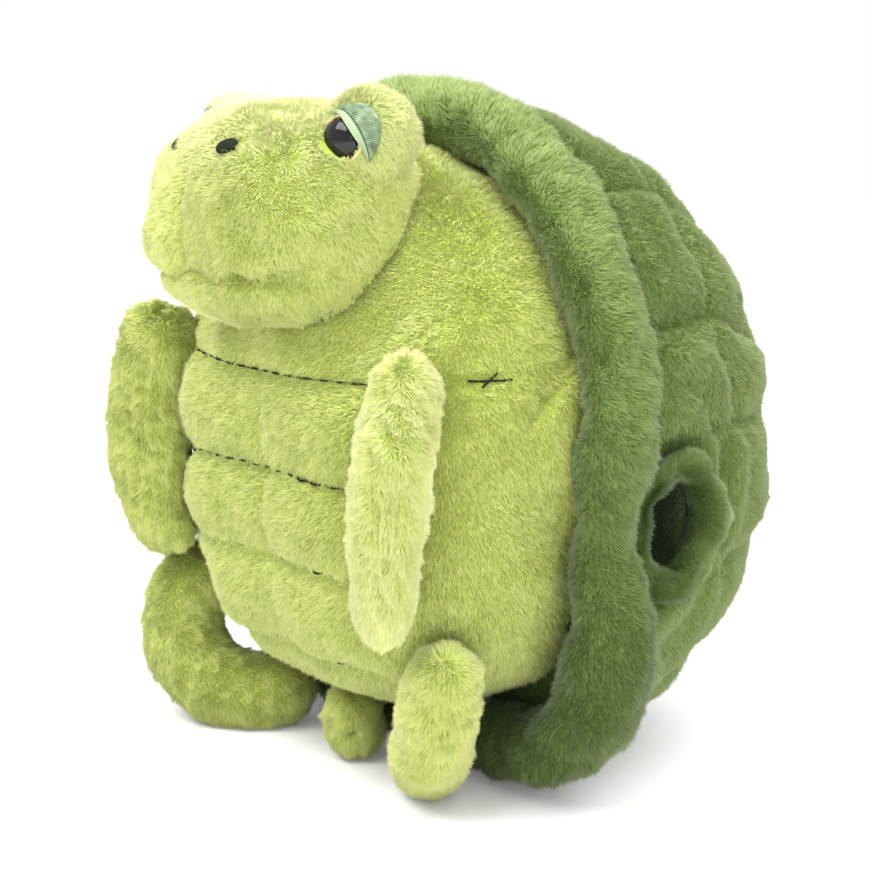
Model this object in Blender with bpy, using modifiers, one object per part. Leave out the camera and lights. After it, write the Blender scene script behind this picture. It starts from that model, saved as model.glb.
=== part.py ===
"""Round plush turtle that sits upright: a stuffed body in front, a quilted shell behind it with a
hand tunnel from side to side, and a padded roll sewn along the seam between the two.

Metres, +Z up. The turtle looks along -Y and its left side is at +X. The origin is on the floor,
on the middle line, where the flattened base of the shell rests.
"""
import math

import bpy
import bmesh
from mathutils import Matrix, Vector

# General sizes
FABRIC = 0.0035          # plush cloth with its backing
GAP = 0.0003             # left between pieces that touch
FLAT = 0.0005            # how far a rounded underside is pressed flat on the floor
OVERRUN = 0.010          # how far a cutter runs past what it cuts

# Padded roll along the seam; its middle line is an upright closed curve
ROLL_RADIUS = 0.019
ROLL_OUTSET = 0.005      # how far its middle line lies outside the shell's edge, at the sides
ROLL_TOP_Z = 0.359
ROLL_Y = -0.030
ROLL_PINCH = 0.004       # how much thinner the roll is beside the hand tunnel
ROLL_PINCH_HEIGHT = 0.018
ROLL_SEAT = 0.0011       # how far the body's edge reaches into the roll's open inner side
ROLL_UPPER_EXPONENT = 2.1
ROLL_LOWER_EXPONENT = 4.0

# Stuffed body in front of the roll
BODY_DEPTH = 0.105
BODY_UPPER_EXPONENT = 2.05
BODY_LOWER_EXPONENT = 2.6
BODY_PROFILE_EXPONENT = 3.0

# Shell behind the roll
SHELL_HALF_WIDTH = 0.160
SHELL_TOP_Z = 0.358
SHELL_MIDDLE_Z = 0.195
SHELL_DEPTH = 0.180
SHELL_SINK = 0.004       # how far the rounded underside would reach below the floor
SHELL_UPPER_EXPONENT = 2.0
SHELL_LOWER_EXPONENT = 2.25
QUILT_PUFF = 0.0065      # height of the padding between two sewn channels
QUILT_CLEARANCE = 0.0016 # under a cover whose flat facets cut inside its curve
QUILT_CHANNEL = 0.013    # half width of a channel's slope
QUILT_RING_DEGREES = (36.0, 63.0)
QUILT_RAY_DEGREES = (-60.0, -30.0, 0.0, 22.5, 52.5)

# Hand tunnel through the shell, from side to side
TUNNEL_Y = 0.0125
TUNNEL_Z = 0.150
TUNNEL_HALF_DEPTH = 0.017
TUNNEL_HALF_HEIGHT = 0.029
LINING = 0.0025
LINING_SHORT = 0.005     # how far the lining ends inside the shell's widest line
CUFF_FRONT_RADIUS = 0.004
CUFF_BACK_RADIUS = 0.0065
CUFF_REST = 0.0010       # between a cuff and the hollow shell under it
DRAW_IN = 0.011          # how far the sides are drawn in at the tunnel's mouths
DRAW_IN_HEIGHT = 0.042
DRAW_IN_DEPTH = 0.060

# Head
HEAD_Y = -0.117
HEAD_Z = 0.305
HEAD_HALF_WIDTH = 0.076
HEAD_HALF_DEPTH = 0.064
HEAD_HALF_HEIGHT = 0.061
HEAD_EXPONENT = 2.3
BROW_X = 0.061
BROW_Y = -0.1055
BROW_Z = 0.348
BROW_RADIUS = 0.0225
CHEEK_HEIGHT = 0.007
NECK_Y = 0.003           # middle of the ball on which the head turns
NECK_Z = 0.215
NECK_RADIUS = 0.1405     # of that ball, into which the body is pressed
NECK_FADE_DEGREES = (34.0, 50.0)
NECK_SEAM = 0.0020
NECK_SEAM_DEGREES = (10.0, 20.0)
NECK_SLACK = 0.0008      # round the neck seam, so that the head turns freely

# Eyes
EYE_RADIUS = 0.0105
EYE_DOME = 0.0065
EYE_SINK = 0.0060
EYE_SET_IN = 0.0030      # below the brow's surface
EYE_RING = 0.0014
HOLE_CLEARANCE = 0.0004
STEM_RADIUS = 0.0025
STEM_LENGTH = 0.0050
WASHER_RADIUS = 0.0080
WASHER_THICKNESS = 0.0015
LID_THICKNESS = 0.0016
LID_WIDTH = 0.0120
LID_HALF_SPAN_DEGREES = 88.0
NOSTRIL_LENGTH = 0.0110
NOSTRIL_WIDTH = 0.0070
NOSTRIL_HEIGHT = 0.0016

# Limbs: radii at the seam, in the middle and at the tip, then how far the middle and the tip
# lie from the root; a tip's height of 0 reaches down to the floor, and the left leg is straighter
FLIPPER_RADII = (0.0200, 0.0190, 0.0140)
LEG_RADII = ((0.0185, 0.0200, 0.0185), (0.0185, 0.0225, 0.0205))
TAIL_RADII = (0.0150, 0.0160, 0.0160)
FLIPPER_BOW = Vector((0.007, -0.0115, -0.053))
FLIPPER_REACH = Vector((-0.001, -0.008, -0.109))
LEG_BOWS = (Vector((-0.020, 0.0085, -0.041)), Vector((0.009, -0.015, -0.030)))
LEG_REACHES = (Vector((-0.0545, 0.031, 0.0)), Vector((-0.038, 0.024, 0.0)))
TAIL_BOW = Vector((0.0, 0.0002, -0.0065))
TAIL_REACH = Vector((0.0, 0.002, 0.0))
SEAM_SINK = 0.0020       # how deep a limb's root is pressed into the body's cover
SEAM_OPENING_SHARE = 0.40   # of the root's radius

# Belly stitching
THREAD_RADIUS = 0.0007
ROW_NAMES = ("chest", "upper", "lower", "bottom")
ROW_END_RISES = (0.001, -0.008, 0.0, 0.0)
ROW_STEPS = 20
BARTACK_LENGTH = 0.010
BARTACK_NAMES = ("chest", "upper")

# Places of the stitching, as shares of the body's half width and, from its middle, half height
ROW_HEIGHT_SHARES = (0.2384, -0.1036, -0.4226, -0.7678)
ROW_WIDTH_SHARES = (0.5995, 0.7357, 0.5109, 0.3406)
BARTACK_HEIGHT_SHARES = (0.2779, -0.1562)
BARTACK_START_SHARES = (0.8651, 0.7459)

# Directions, as shares of a unit length
FLIPPER_SHARES = Vector((0.1165, -0.0935, 0.0410))
HIP_SHARES = Vector((0.1045, -0.0630, -0.0965))
TAIL_SHARES = Vector((0.0, -0.046, -0.150))
CHEEK_SHARES = Vector((0.50, -0.80, -0.12))
CHEEK_SPREAD_SHARE = 0.55
EYE_PLACE_SHARES = Vector((0.10, -0.98, -0.13))
EYE_AIM_SHARES = Vector((0.38, -0.92, 0.06))
LID_LEAN_SHARES = Vector((0.80, 0.0, 0.60))
LID_TAPER_SHARE = 0.75
NOSTRIL_SHARES = Vector((0.245, -0.467, 0.369))
NOSTRIL_LEAN_SHARES = Vector((0.80, 0.0, 0.60))

# Counts and shares of the modelling itself
STEP_SHARE = 0.01
BLEND_SHARE = 0.25
MERGE = 0.00001

BODY_GREEN = (0.52, 0.66, 0.11)
SHELL_GREEN = (0.16, 0.27, 0.06)
COTTON = (0.82, 0.82, 0.78)
THREAD_BLACK = (0.012, 0.014, 0.010)
SATIN_GREEN = (0.16, 0.42, 0.20)
GOLD = (0.80, 0.62, 0.36)
EYE_BLACK = (0.006, 0.006, 0.006)

TOP_POLE = Matrix.Identity(3)
FRONT_POLE = Matrix.Rotation(math.radians(90.0), 3, "X")
SIDES = (("left", 1.0), ("right", -1.0))

# Sizes worked out from the ones above
ROLL_HALF_WIDTH = SHELL_HALF_WIDTH + ROLL_OUTSET
ROLL_BOTTOM_Z = ROLL_RADIUS - FLAT
ROLL_MIDDLE_Z = (ROLL_TOP_Z + ROLL_BOTTOM_Z) / 2
ROLL_HALF_HEIGHT = (ROLL_TOP_Z - ROLL_BOTTOM_Z) / 2
BODY_MIDDLE = Vector((0.0, ROLL_Y, ROLL_MIDDLE_Z))
BODY_HALF_WIDTH = ROLL_HALF_WIDTH - ROLL_RADIUS - GAP + ROLL_SEAT
BODY_HALF_HEIGHT = ROLL_HALF_HEIGHT - ROLL_RADIUS - GAP + ROLL_SEAT
SHELL_MIDDLE = Vector((0.0, ROLL_Y + ROLL_RADIUS + GAP, SHELL_MIDDLE_Z))
TUNNEL = Vector((0.0, TUNNEL_Y, TUNNEL_Z))
HEAD = Vector((0.0, HEAD_Y, HEAD_Z))
BROW = Vector((BROW_X, BROW_Y, BROW_Z))
NECK = Vector((0.0, NECK_Y, NECK_Z))
NECK_AXIS = (HEAD - NECK).normalized()


def clear_scene():
    for item in list(bpy.data.objects):
        bpy.data.objects.remove(item, do_unlink=True)


def new_collection(name):
    collection = bpy.data.collections.new(name)
    bpy.context.scene.collection.children.link(collection)
    return collection


def new_material(name, colour, roughness, metallic=0.0):
    material = bpy.data.materials.new(name)
    material.use_nodes = True
    shader = material.node_tree.nodes["Principled BSDF"]
    shader.inputs["Base Color"].default_value = (*colour, 1.0)
    shader.inputs["Roughness"].default_value = roughness
    shader.inputs["Metallic"].default_value = metallic
    return material


# Curves and surfaces

def smooth_step(value, low, high):
    share = min(max((value - low) / (high - low), 0.0), 1.0)
    return share * share * (3.0 - 2.0 * share)


def mixed(lower, upper, height_share):
    """The lower value below the middle and the upper one above it, with a soft change between."""
    return lower + (upper - lower) * smooth_step(height_share, -BLEND_SHARE, BLEND_SHARE)


def bump(distance, spread):
    return math.exp(-((distance / spread) ** 2))


def rounded_point(direction, halves, section, profile):
    """Where a ray meets a rounded solid: section bends its outline, profile its swell along Y."""
    across = (abs(direction.x) / halves.x) ** section + (abs(direction.z) / halves.z) ** section
    along = (abs(direction.y) / halves.y) ** profile
    return direction * (across ** (profile / section) + along) ** (-1.0 / profile)


def drawn_in(point, half_width):
    """The point pulled toward the middle where the tunnel's mouths gather the cloth."""
    pull = bump(point.z - TUNNEL_Z, DRAW_IN_HEIGHT) * bump(point.y - ROLL_Y, DRAW_IN_DEPTH)
    return Vector((point.x * (1.0 - DRAW_IN * pull / half_width), point.y, point.z))


def under_head(point):
    """The point pressed in, where it needs to be, by the ball on which the head turns."""
    spoke = point - NECK
    low, high = NECK_FADE_DEGREES
    pressed = 1.0 - smooth_step(math.degrees(spoke.angle(NECK_AXIS)), low, high)
    return point - spoke.normalized() * (max(spoke.length - NECK_RADIUS, 0.0) * pressed)


def body_point(direction):
    halves = Vector((BODY_HALF_WIDTH, BODY_DEPTH, BODY_HALF_HEIGHT))
    section = mixed(BODY_LOWER_EXPONENT, BODY_UPPER_EXPONENT, direction.normalized().z)
    point = rounded_point(direction, halves, section, BODY_PROFILE_EXPONENT)
    if point.y > 0.0:
        point.y *= (ROLL_RADIUS - GAP) / BODY_DEPTH
    return under_head(drawn_in(BODY_MIDDLE + point, BODY_HALF_WIDTH))


def belly_direction(x, z):
    """The direction from the body's middle to its front at a given width and height."""
    rise = z - BODY_MIDDLE.z
    section = mixed(BODY_LOWER_EXPONENT, BODY_UPPER_EXPONENT, rise / BODY_HALF_HEIGHT)
    across = (abs(x) / BODY_HALF_WIDTH) ** section + (abs(rise) / BODY_HALF_HEIGHT) ** section
    depth = (1.0 - across ** (BODY_PROFILE_EXPONENT / section)) ** (1.0 / BODY_PROFILE_EXPONENT)
    return Vector((x, -BODY_DEPTH * depth, rise))


def shell_exponent(height_share):
    return mixed(SHELL_LOWER_EXPONENT, SHELL_UPPER_EXPONENT, height_share)


def shell_half_height(rise):
    return SHELL_TOP_Z - SHELL_MIDDLE_Z if rise >= 0.0 else SHELL_MIDDLE_Z + SHELL_SINK


def shell_point(direction):
    """The shell's outside without its quilting."""
    halves = Vector((SHELL_HALF_WIDTH, SHELL_DEPTH, shell_half_height(direction.z)))
    exponent = shell_exponent(direction.normalized().z)
    point = SHELL_MIDDLE + rounded_point(direction, halves, exponent, exponent)
    point.z = max(point.z, 0.0)
    return drawn_in(point, SHELL_HALF_WIDTH)


def shell_side_x(y, z):
    """Half width of the shell at a given depth and height."""
    rise = z - SHELL_MIDDLE.z
    height_share = abs(rise) / shell_half_height(rise)
    depth_share = abs(y - SHELL_MIDDLE.y) / SHELL_DEPTH
    exponent = shell_exponent(math.copysign(height_share, rise))
    left_over = 1.0 - height_share ** exponent - depth_share ** exponent
    point = Vector((SHELL_HALF_WIDTH * left_over ** (1.0 / exponent), y, z))
    return drawn_in(point, SHELL_HALF_WIDTH).x


def quilted_shell_point(direction):
    """The shell's outside, puffed up between its sewn channels."""
    point = shell_point(direction)
    from_middle = point - SHELL_MIDDLE
    girth = math.hypot(from_middle.x, from_middle.z)
    ring_angle = math.degrees(math.atan2(girth, from_middle.y))
    ray_angle = math.degrees(math.atan2(from_middle.z, abs(from_middle.x)))
    ring_steps = [math.radians(abs(ring_angle - ring)) * SHELL_DEPTH for ring in QUILT_RING_DEGREES]
    nearest = min(ring_steps)
    if ring_angle > QUILT_RING_DEGREES[0]:
        ray_steps = [math.radians(abs(ray_angle - ray)) * girth for ray in QUILT_RAY_DEGREES]
        nearest = min(nearest, min(ray_steps))
    tunnel_y = (point.y - TUNNEL_Y) / (TUNNEL_HALF_DEPTH + 4 * CUFF_BACK_RADIUS)
    tunnel_z = (point.z - TUNNEL_Z) / (TUNNEL_HALF_HEIGHT + 4 * CUFF_BACK_RADIUS)
    puff = 1.0 - bump(nearest, QUILT_CHANNEL)
    puff *= smooth_step(math.hypot(tunnel_y, tunnel_z), 0.8, 1.4)
    puff *= smooth_step(point.y - SHELL_MIDDLE.y, 0.0, ROLL_RADIUS)
    puff *= smooth_step(point.z, 0.0, ROLL_RADIUS)
    return point + from_middle.normalized() * (puff * QUILT_PUFF)


def plain_head_point(direction):
    halves = Vector((HEAD_HALF_WIDTH, HEAD_HALF_DEPTH, HEAD_HALF_HEIGHT))
    return HEAD + rounded_point(direction, halves, HEAD_EXPONENT, HEAD_EXPONENT)


def head_point(direction):
    """The head's outside with its cheeks."""
    unit = direction.normalized()
    left = Vector((abs(unit.x), unit.y, unit.z))
    lift = CHEEK_HEIGHT * bump((left - CHEEK_SHARES.normalized()).length, CHEEK_SPREAD_SHARE)
    return plain_head_point(direction) + unit * lift


def outward(point_of, direction):
    """Outward normal of a surface where a ray from its middle leaves it."""
    step = STEP_SHARE
    first = direction.orthogonal().normalized() * direction.length
    second = direction.cross(first).normalized() * direction.length
    run = point_of(direction + first * step) - point_of(direction - first * step)
    rise = point_of(direction + second * step) - point_of(direction - second * step)
    return run.cross(rise).normalized()


def ball(segments, rings, point_of, pole=TOP_POLE):
    """A sphere whose every vertex is moved to the point that lies in its direction."""
    mesh = bmesh.new()
    bmesh.ops.create_uvsphere(mesh, u_segments=segments, v_segments=rings, radius=1.0)
    for vertex in mesh.verts:
        vertex.co = point_of(pole @ vertex.co)
    return mesh


def remove_faces(mesh, unwanted):
    faces = [face for face in mesh.faces if unwanted(face.calc_center_median())]
    bmesh.ops.delete(mesh, geom=faces, context="FACES")
    return mesh


def shrink(mesh, depth):
    """Move a surface inward, then close what is open."""
    bmesh.ops.triangulate(mesh, faces=mesh.faces, quad_method="FIXED", ngon_method="BEAUTY")
    mesh.normal_update()
    moves = [(vertex, vertex.normal * depth) for vertex in mesh.verts]
    for vertex, move in moves:
        vertex.co -= move
    edges = [edge for edge in mesh.edges if edge.is_boundary]
    if edges:
        bmesh.ops.holes_fill(mesh, edges=edges)
    return mesh


def mirrored(mesh, side):
    """The same mesh on the left, or its mirror image on the right."""
    for vertex in mesh.verts:
        vertex.co.x *= side
    if side < 0.0:
        bmesh.ops.reverse_faces(mesh, faces=mesh.faces)
    return mesh


def add_object(name, mesh, material, collection, origin=None):
    """An object whose mesh is given in world places; its own origin is put where asked."""
    data = bpy.data.meshes.new(name)
    origin = origin or Vector()
    bmesh.ops.translate(mesh, vec=-origin, verts=mesh.verts)
    bmesh.ops.triangulate(mesh, faces=mesh.faces, quad_method="FIXED", ngon_method="BEAUTY")
    mesh.to_mesh(data)
    mesh.free()
    data.shade_smooth()
    item = bpy.data.objects.new(name, data)
    item.location = origin
    if material:
        data.materials.append(material)
    collection.objects.link(item)
    return item


def add_wall(item, thickness, offset=-1.0):
    wall = item.modifiers.new("Wall", "SOLIDIFY")
    wall.thickness = thickness
    wall.offset = offset
    wall.use_even_offset = False
    return item


def combine(item, other, operation):
    change = item.modifiers.new(operation.title() + " " + other.name, "BOOLEAN")
    change.operation = operation
    change.solver = "EXACT"
    change.object = other
    return item


def cut(item, *cutters):
    for cutter in cutters:
        combine(item, cutter, "DIFFERENCE")
    return item


def add_cutter(name, mesh, collection):
    cutter = add_object(name, mesh, None, collection)
    cutter.hide_render = True
    cutter.display_type = "WIRE"
    return cutter


def tube(name, points, radius, material, collection, closed=False, sides=0):
    curve = bpy.data.curves.new(name, "CURVE")
    curve.dimensions = "3D"
    curve.bevel_depth = radius
    curve.bevel_resolution = sides
    curve.use_fill_caps = not closed
    spline = curve.splines.new("POLY")
    spline.points.add(len(points) - 1)
    spline.use_cyclic_u = closed
    for place, point in zip(spline.points, points):
        place.co = (*point, 1.0)
    item = bpy.data.objects.new(name, curve)
    curve.materials.append(material)
    collection.objects.link(item)
    return item


# Padded roll

def roll_line(angle):
    """A point of the roll's middle line, before the pinch."""
    across = math.cos(angle)
    up = math.sin(angle)
    exponent = mixed(ROLL_LOWER_EXPONENT, ROLL_UPPER_EXPONENT, up)
    reach = (abs(across) ** exponent + abs(up) ** exponent) ** (-1.0 / exponent)
    half_size = Vector((ROLL_HALF_WIDTH * across, 0.0, ROLL_HALF_HEIGHT * up))
    return Vector((0.0, ROLL_Y, ROLL_MIDDLE_Z)) + half_size * reach


def roll_place(unit):
    """A point of a ring of radius 1 and tube radius 1/2, moved onto the roll."""
    angle = math.atan2(unit.y, unit.x)
    outer = (math.hypot(unit.x, unit.y) - 1.0) * 2.0
    front = unit.z * 2.0
    middle = roll_line(angle)
    ahead = roll_line(angle + STEP_SHARE) - roll_line(angle - STEP_SHARE)
    sideways = Vector((ahead.z, 0.0, -ahead.x)).normalized()
    radius = ROLL_RADIUS - ROLL_PINCH * bump(middle.z - TUNNEL_Z, ROLL_PINCH_HEIGHT)
    middle = drawn_in(middle, ROLL_HALF_WIDTH)
    place = middle + sideways * (outer * radius) + Vector((0.0, -front * radius, 0.0))
    place.z = max(place.z, 0.0)
    return place


def cuff_place(unit):
    """A point of the same ring, moved onto the rim of the tunnel's left mouth."""
    angle = math.atan2(unit.y, unit.x)
    outer = (math.hypot(unit.x, unit.y) - 1.0) * 2.0
    front_share = 0.5 - 0.5 * math.cos(angle)
    radius = CUFF_BACK_RADIUS + (CUFF_FRONT_RADIUS - CUFF_BACK_RADIUS) * front_share
    y = TUNNEL.y + math.cos(angle) * (TUNNEL_HALF_DEPTH + radius)
    z = TUNNEL.z + math.sin(angle) * (TUNNEL_HALF_HEIGHT + radius)
    middle = Vector((shell_side_x(y, z) + radius + CUFF_REST, y, z))
    spoke = Vector((0.0, math.cos(angle), math.sin(angle)))
    return middle + spoke * (outer * radius) + Vector((unit.z * 2.0 * radius, 0.0, 0.0))


def ring(around, across, place, slot=False):
    """A tube ring moved into place, where asked without the strip of faces on its inner side."""
    bpy.ops.mesh.primitive_torus_add(
        major_segments=around, minor_segments=across, major_radius=1.0, minor_radius=0.5)
    source = bpy.context.object
    mesh = bmesh.new()
    mesh.from_mesh(source.data)
    bpy.data.objects.remove(source, do_unlink=True)
    if slot:
        inner_edge = 0.5 + 0.1
        remove_faces(mesh, lambda centre: math.hypot(centre.x, centre.y) < inner_edge)
    for vertex in mesh.verts:
        vertex.co = place(vertex.co)
    return mesh


def add_roll(look, parts):
    cover = add_object("roll_cover", ring(36, 9, roll_place, slot=True), look["shell"], parts)
    add_wall(cover, FABRIC)
    filling = shrink(ring(36, 9, roll_place), FABRIC + GAP)
    add_object("roll_filling", filling, look["cotton"], parts)


# Main bag and the hand tunnel

def add_body(look, parts):
    skin = remove_faces(ball(36, 20, body_point, FRONT_POLE), lambda centre: centre.y > ROLL_Y)
    cover = add_wall(add_object("body_cover", skin, look["fur"], parts), FABRIC)
    filling = shrink(ball(36, 20, body_point, FRONT_POLE), FABRIC + GAP)
    add_object("body_stuffing", filling, look["cotton"], parts)
    return cover


def elliptic_bar(margin, half_length, capped):
    """A bar along X round the tunnel's opening, wider than it by a margin."""
    mesh = bmesh.new()
    bmesh.ops.create_cone(
        mesh, cap_ends=capped, segments=24, radius1=1.0, radius2=1.0, depth=2.0)
    half_depth = TUNNEL_HALF_DEPTH + margin
    half_height = TUNNEL_HALF_HEIGHT + margin
    for vertex in mesh.verts:
        unit = vertex.co.copy()
        vertex.co = TUNNEL + Vector((unit.z * half_length, unit.x * half_depth, unit.y * half_height))
    return mesh


def add_shell(look, parts, cutters):
    def in_front(centre):
        return centre.y < SHELL_MIDDLE.y

    bar = elliptic_bar(LINING + GAP, SHELL_HALF_WIDTH + OVERRUN, capped=True)
    bore = add_cutter("tunnel_cutter", bar, cutters)
    skin = remove_faces(ball(48, 20, quilted_shell_point, FRONT_POLE), in_front)
    cover = add_object("shell_cover", skin, look["shell"], parts)
    cut(add_wall(cover, FABRIC), bore)
    filling = remove_faces(ball(28, 14, shell_point, FRONT_POLE), in_front)
    shrink(filling, FABRIC + QUILT_CLEARANCE)
    for vertex in filling.verts:
        vertex.co.y = max(vertex.co.y, SHELL_MIDDLE.y)
    cut(add_object("shell_stuffing", filling, look["cotton"], parts), bore)

    half_length = shell_side_x(TUNNEL.y, TUNNEL.z) - LINING_SHORT
    lining = elliptic_bar(LINING, half_length, capped=False)
    add_wall(add_object("tunnel_lining", lining, look["lining"], parts), LINING)
    for side_name, side in SIDES:
        cuff = ring(20, 7, cuff_place)
        add_object("cuff_" + side_name, mirrored(cuff, side), look["shell"], parts)


# Belly stitching

def belly_run(places):
    """Points of a thread that lies on the belly along places given as width and height."""
    directions = [belly_direction(x, z) for x, z in places]
    lift = THREAD_RADIUS + GAP
    return [body_point(way) + outward(body_point, way) * lift for way in directions]


def row_height(row, x):
    height = BODY_MIDDLE.z + BODY_HALF_HEIGHT * ROW_HEIGHT_SHARES[row]
    half_width = BODY_HALF_WIDTH * ROW_WIDTH_SHARES[row]
    return height + ROW_END_RISES[row] * (abs(x) / half_width) ** 4


def add_stitching(look, parts):
    for row, row_name in enumerate(ROW_NAMES):
        half_width = BODY_HALF_WIDTH * ROW_WIDTH_SHARES[row]
        widths = [half_width * (2 * step / ROW_STEPS - 1.0) for step in range(ROW_STEPS + 1)]
        places = [(x, row_height(row, x)) for x in widths]
        tube("stitch_" + row_name, belly_run(places), THREAD_RADIUS, look["thread"], parts)
    shares = zip(BARTACK_NAMES, BARTACK_START_SHARES, BARTACK_HEIGHT_SHARES)
    for row_name, start_share, height_share in shares:
        start = BODY_HALF_WIDTH * start_share
        height = BODY_MIDDLE.z + BODY_HALF_HEIGHT * height_share
        for side_name, side in SIDES:
            places = [(side * (start + BARTACK_LENGTH * step / 3), height) for step in range(4)]
            name = "bartack_" + row_name + "_" + side_name
            tube(name, belly_run(places), THREAD_RADIUS, look["thread"], parts)


# Head

def neck_ball(radius, segments, rings):
    turn = NECK_AXIS.to_track_quat("Z", "Y").to_matrix()
    return ball(segments, rings, lambda unit: NECK + unit * radius, turn)


def add_neck_seam(look, parts):
    low, high = (math.radians(angle) for angle in NECK_SEAM_DEGREES)

    def outside_zone(centre):
        return not low < (centre - NECK).angle(NECK_AXIS) < high
    zone = remove_faces(neck_ball(NECK_RADIUS + GAP, 20, 36), outside_zone)
    band = add_object("neck_seam", zone, look["fur"], parts, NECK)
    add_wall(band, NECK_SEAM, 1.0)
    return band


def brow_mesh(side, margin):
    """The ball of a brow, larger than it by a margin."""
    middle = Vector((BROW.x * side, BROW.y, BROW.z))
    return ball(16, 10, lambda unit: middle + unit * (BROW_RADIUS + margin))


def eye_frame(side):
    """Where an eye sits in its brow and how it is turned: its own Z looks out."""
    aim = EYE_AIM_SHARES.normalized()
    place = BROW + EYE_PLACE_SHARES.normalized() * (BROW_RADIUS - EYE_SET_IN)
    turn = Vector((aim.x * side, aim.y, aim.z)).to_track_quat("Z", "Y")
    return Matrix.Translation((place.x * side, place.y, place.z)) @ turn.to_matrix().to_4x4()


def turned(name, profile, segments, material, collection, frame):
    """A profile of radius and height, from the top down, turned round its own Z."""
    mesh = bmesh.new()
    corners = [mesh.verts.new((radius, 0.0, height)) for radius, height in profile]
    for first, second in zip(corners, corners[1:]):
        mesh.edges.new((first, second))
    data = bpy.data.meshes.new(name)
    mesh.to_mesh(data)
    mesh.free()
    item = bpy.data.objects.new(name, data)
    data.materials.append(material)
    item.matrix_world = frame
    screw = item.modifiers.new("Turn", "SCREW")
    screw.steps = segments
    screw.render_steps = segments
    screw.use_merge_vertices = True
    screw.merge_threshold = MERGE
    collection.objects.link(item)
    return item


def dome_profile(radius, height, steps):
    angles = [math.pi / 2 * step / steps for step in range(steps + 1)]
    return [(radius * math.sin(angle), height * math.cos(angle)) for angle in angles]


def add_eye(side_name, side, cutters, look, parts):
    """A domed eye with its ring and its washer, and the hole that they need."""
    frame = eye_frame(side)
    stem_end = -EYE_SINK - STEM_LENGTH
    eye = dome_profile(EYE_RADIUS, EYE_DOME, 4)
    eye += [(EYE_RADIUS, -EYE_SINK), (STEM_RADIUS, -EYE_SINK), (STEM_RADIUS, stem_end), (0.0, stem_end)]
    inner = EYE_RADIUS + GAP
    outer = inner + EYE_RING
    rim = [(inner, EYE_RING), (outer, EYE_RING / 2), (outer, -EYE_RING), (inner, -EYE_RING)]
    top = -EYE_SINK - GAP
    bottom = top - WASHER_THICKNESS
    bore = STEM_RADIUS + GAP
    disc = [(bore, top), (WASHER_RADIUS, top), (WASHER_RADIUS, bottom), (bore, bottom)]
    pieces = [
        turned("eye_" + side_name, eye, 16, look["eye"], parts, frame),
        turned("eye_ring_" + side_name, rim + rim[:1], 16, look["gold"], parts, frame),
        turned("eye_washer_" + side_name, disc + disc[:1], 12, look["plastic"], parts, frame),
    ]
    hole_radius = outer + HOLE_CLEARANCE
    hole = [(0.0, EYE_DOME), (hole_radius, EYE_DOME)]
    hole += [(hole_radius, stem_end - GAP), (0.0, stem_end - GAP)]
    hole = turned("eye_hole_" + side_name, hole, 16, look["eye"], cutters, frame)
    hole.hide_render = True
    hole.display_type = "WIRE"
    return pieces, hole


def add_lid(side_name, side, head_grown, look, parts):
    """A crescent of satin that lies on the brow, round the upper outer half of the eye."""
    aim = EYE_PLACE_SHARES.normalized()
    lean = (LID_LEAN_SHARES - aim * LID_LEAN_SHARES.dot(aim)).normalized()
    across = aim.cross(lean)
    eye_edge = EYE_RADIUS + 2 * GAP + EYE_RING + HOLE_CLEARANCE
    inner_angle = math.asin(eye_edge / BROW_RADIUS)
    half_span = math.radians(LID_HALF_SPAN_DEGREES)
    mesh = bmesh.new()
    bmesh.ops.create_grid(mesh, x_segments=16, y_segments=3, size=1.0)
    for vertex in mesh.verts:
        along, outer = vertex.co.x, (vertex.co.y + 1.0) / 2
        width = LID_WIDTH * (1.0 - LID_TAPER_SHARE * along ** 2)
        polar = inner_angle + outer * width / BROW_RADIUS
        spoke = lean * math.cos(along * half_span) + across * math.sin(along * half_span)
        way = aim * math.cos(polar) + spoke * math.sin(polar)
        vertex.co = BROW + way * (BROW_RADIUS + GAP)
    bmesh.ops.reverse_faces(mesh, faces=mesh.faces)
    lid = add_object("eyelid_" + side_name, mirrored(mesh, side), look["satin"], parts, NECK)
    return cut(add_wall(lid, LID_THICKNESS, 1.0), head_grown)


def add_nostril(side_name, side, head_grown, look, parts):
    """A flat oval patch of thread on the muzzle."""
    place = head_point(NOSTRIL_SHARES)
    normal = outward(head_point, NOSTRIL_SHARES)
    across = (NOSTRIL_LEAN_SHARES - normal * NOSTRIL_LEAN_SHARES.dot(normal)).normalized()
    upward = normal.cross(across)

    def patch_point(unit):
        flat = across * (unit.x * NOSTRIL_LENGTH / 2) + upward * (unit.y * NOSTRIL_WIDTH / 2)
        return place + flat + normal * (unit.z * NOSTRIL_HEIGHT)
    patch = mirrored(ball(12, 8, patch_point), side)
    return cut(add_object("nostril_" + side_name, patch, look["thread"], parts, NECK), head_grown)


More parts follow.
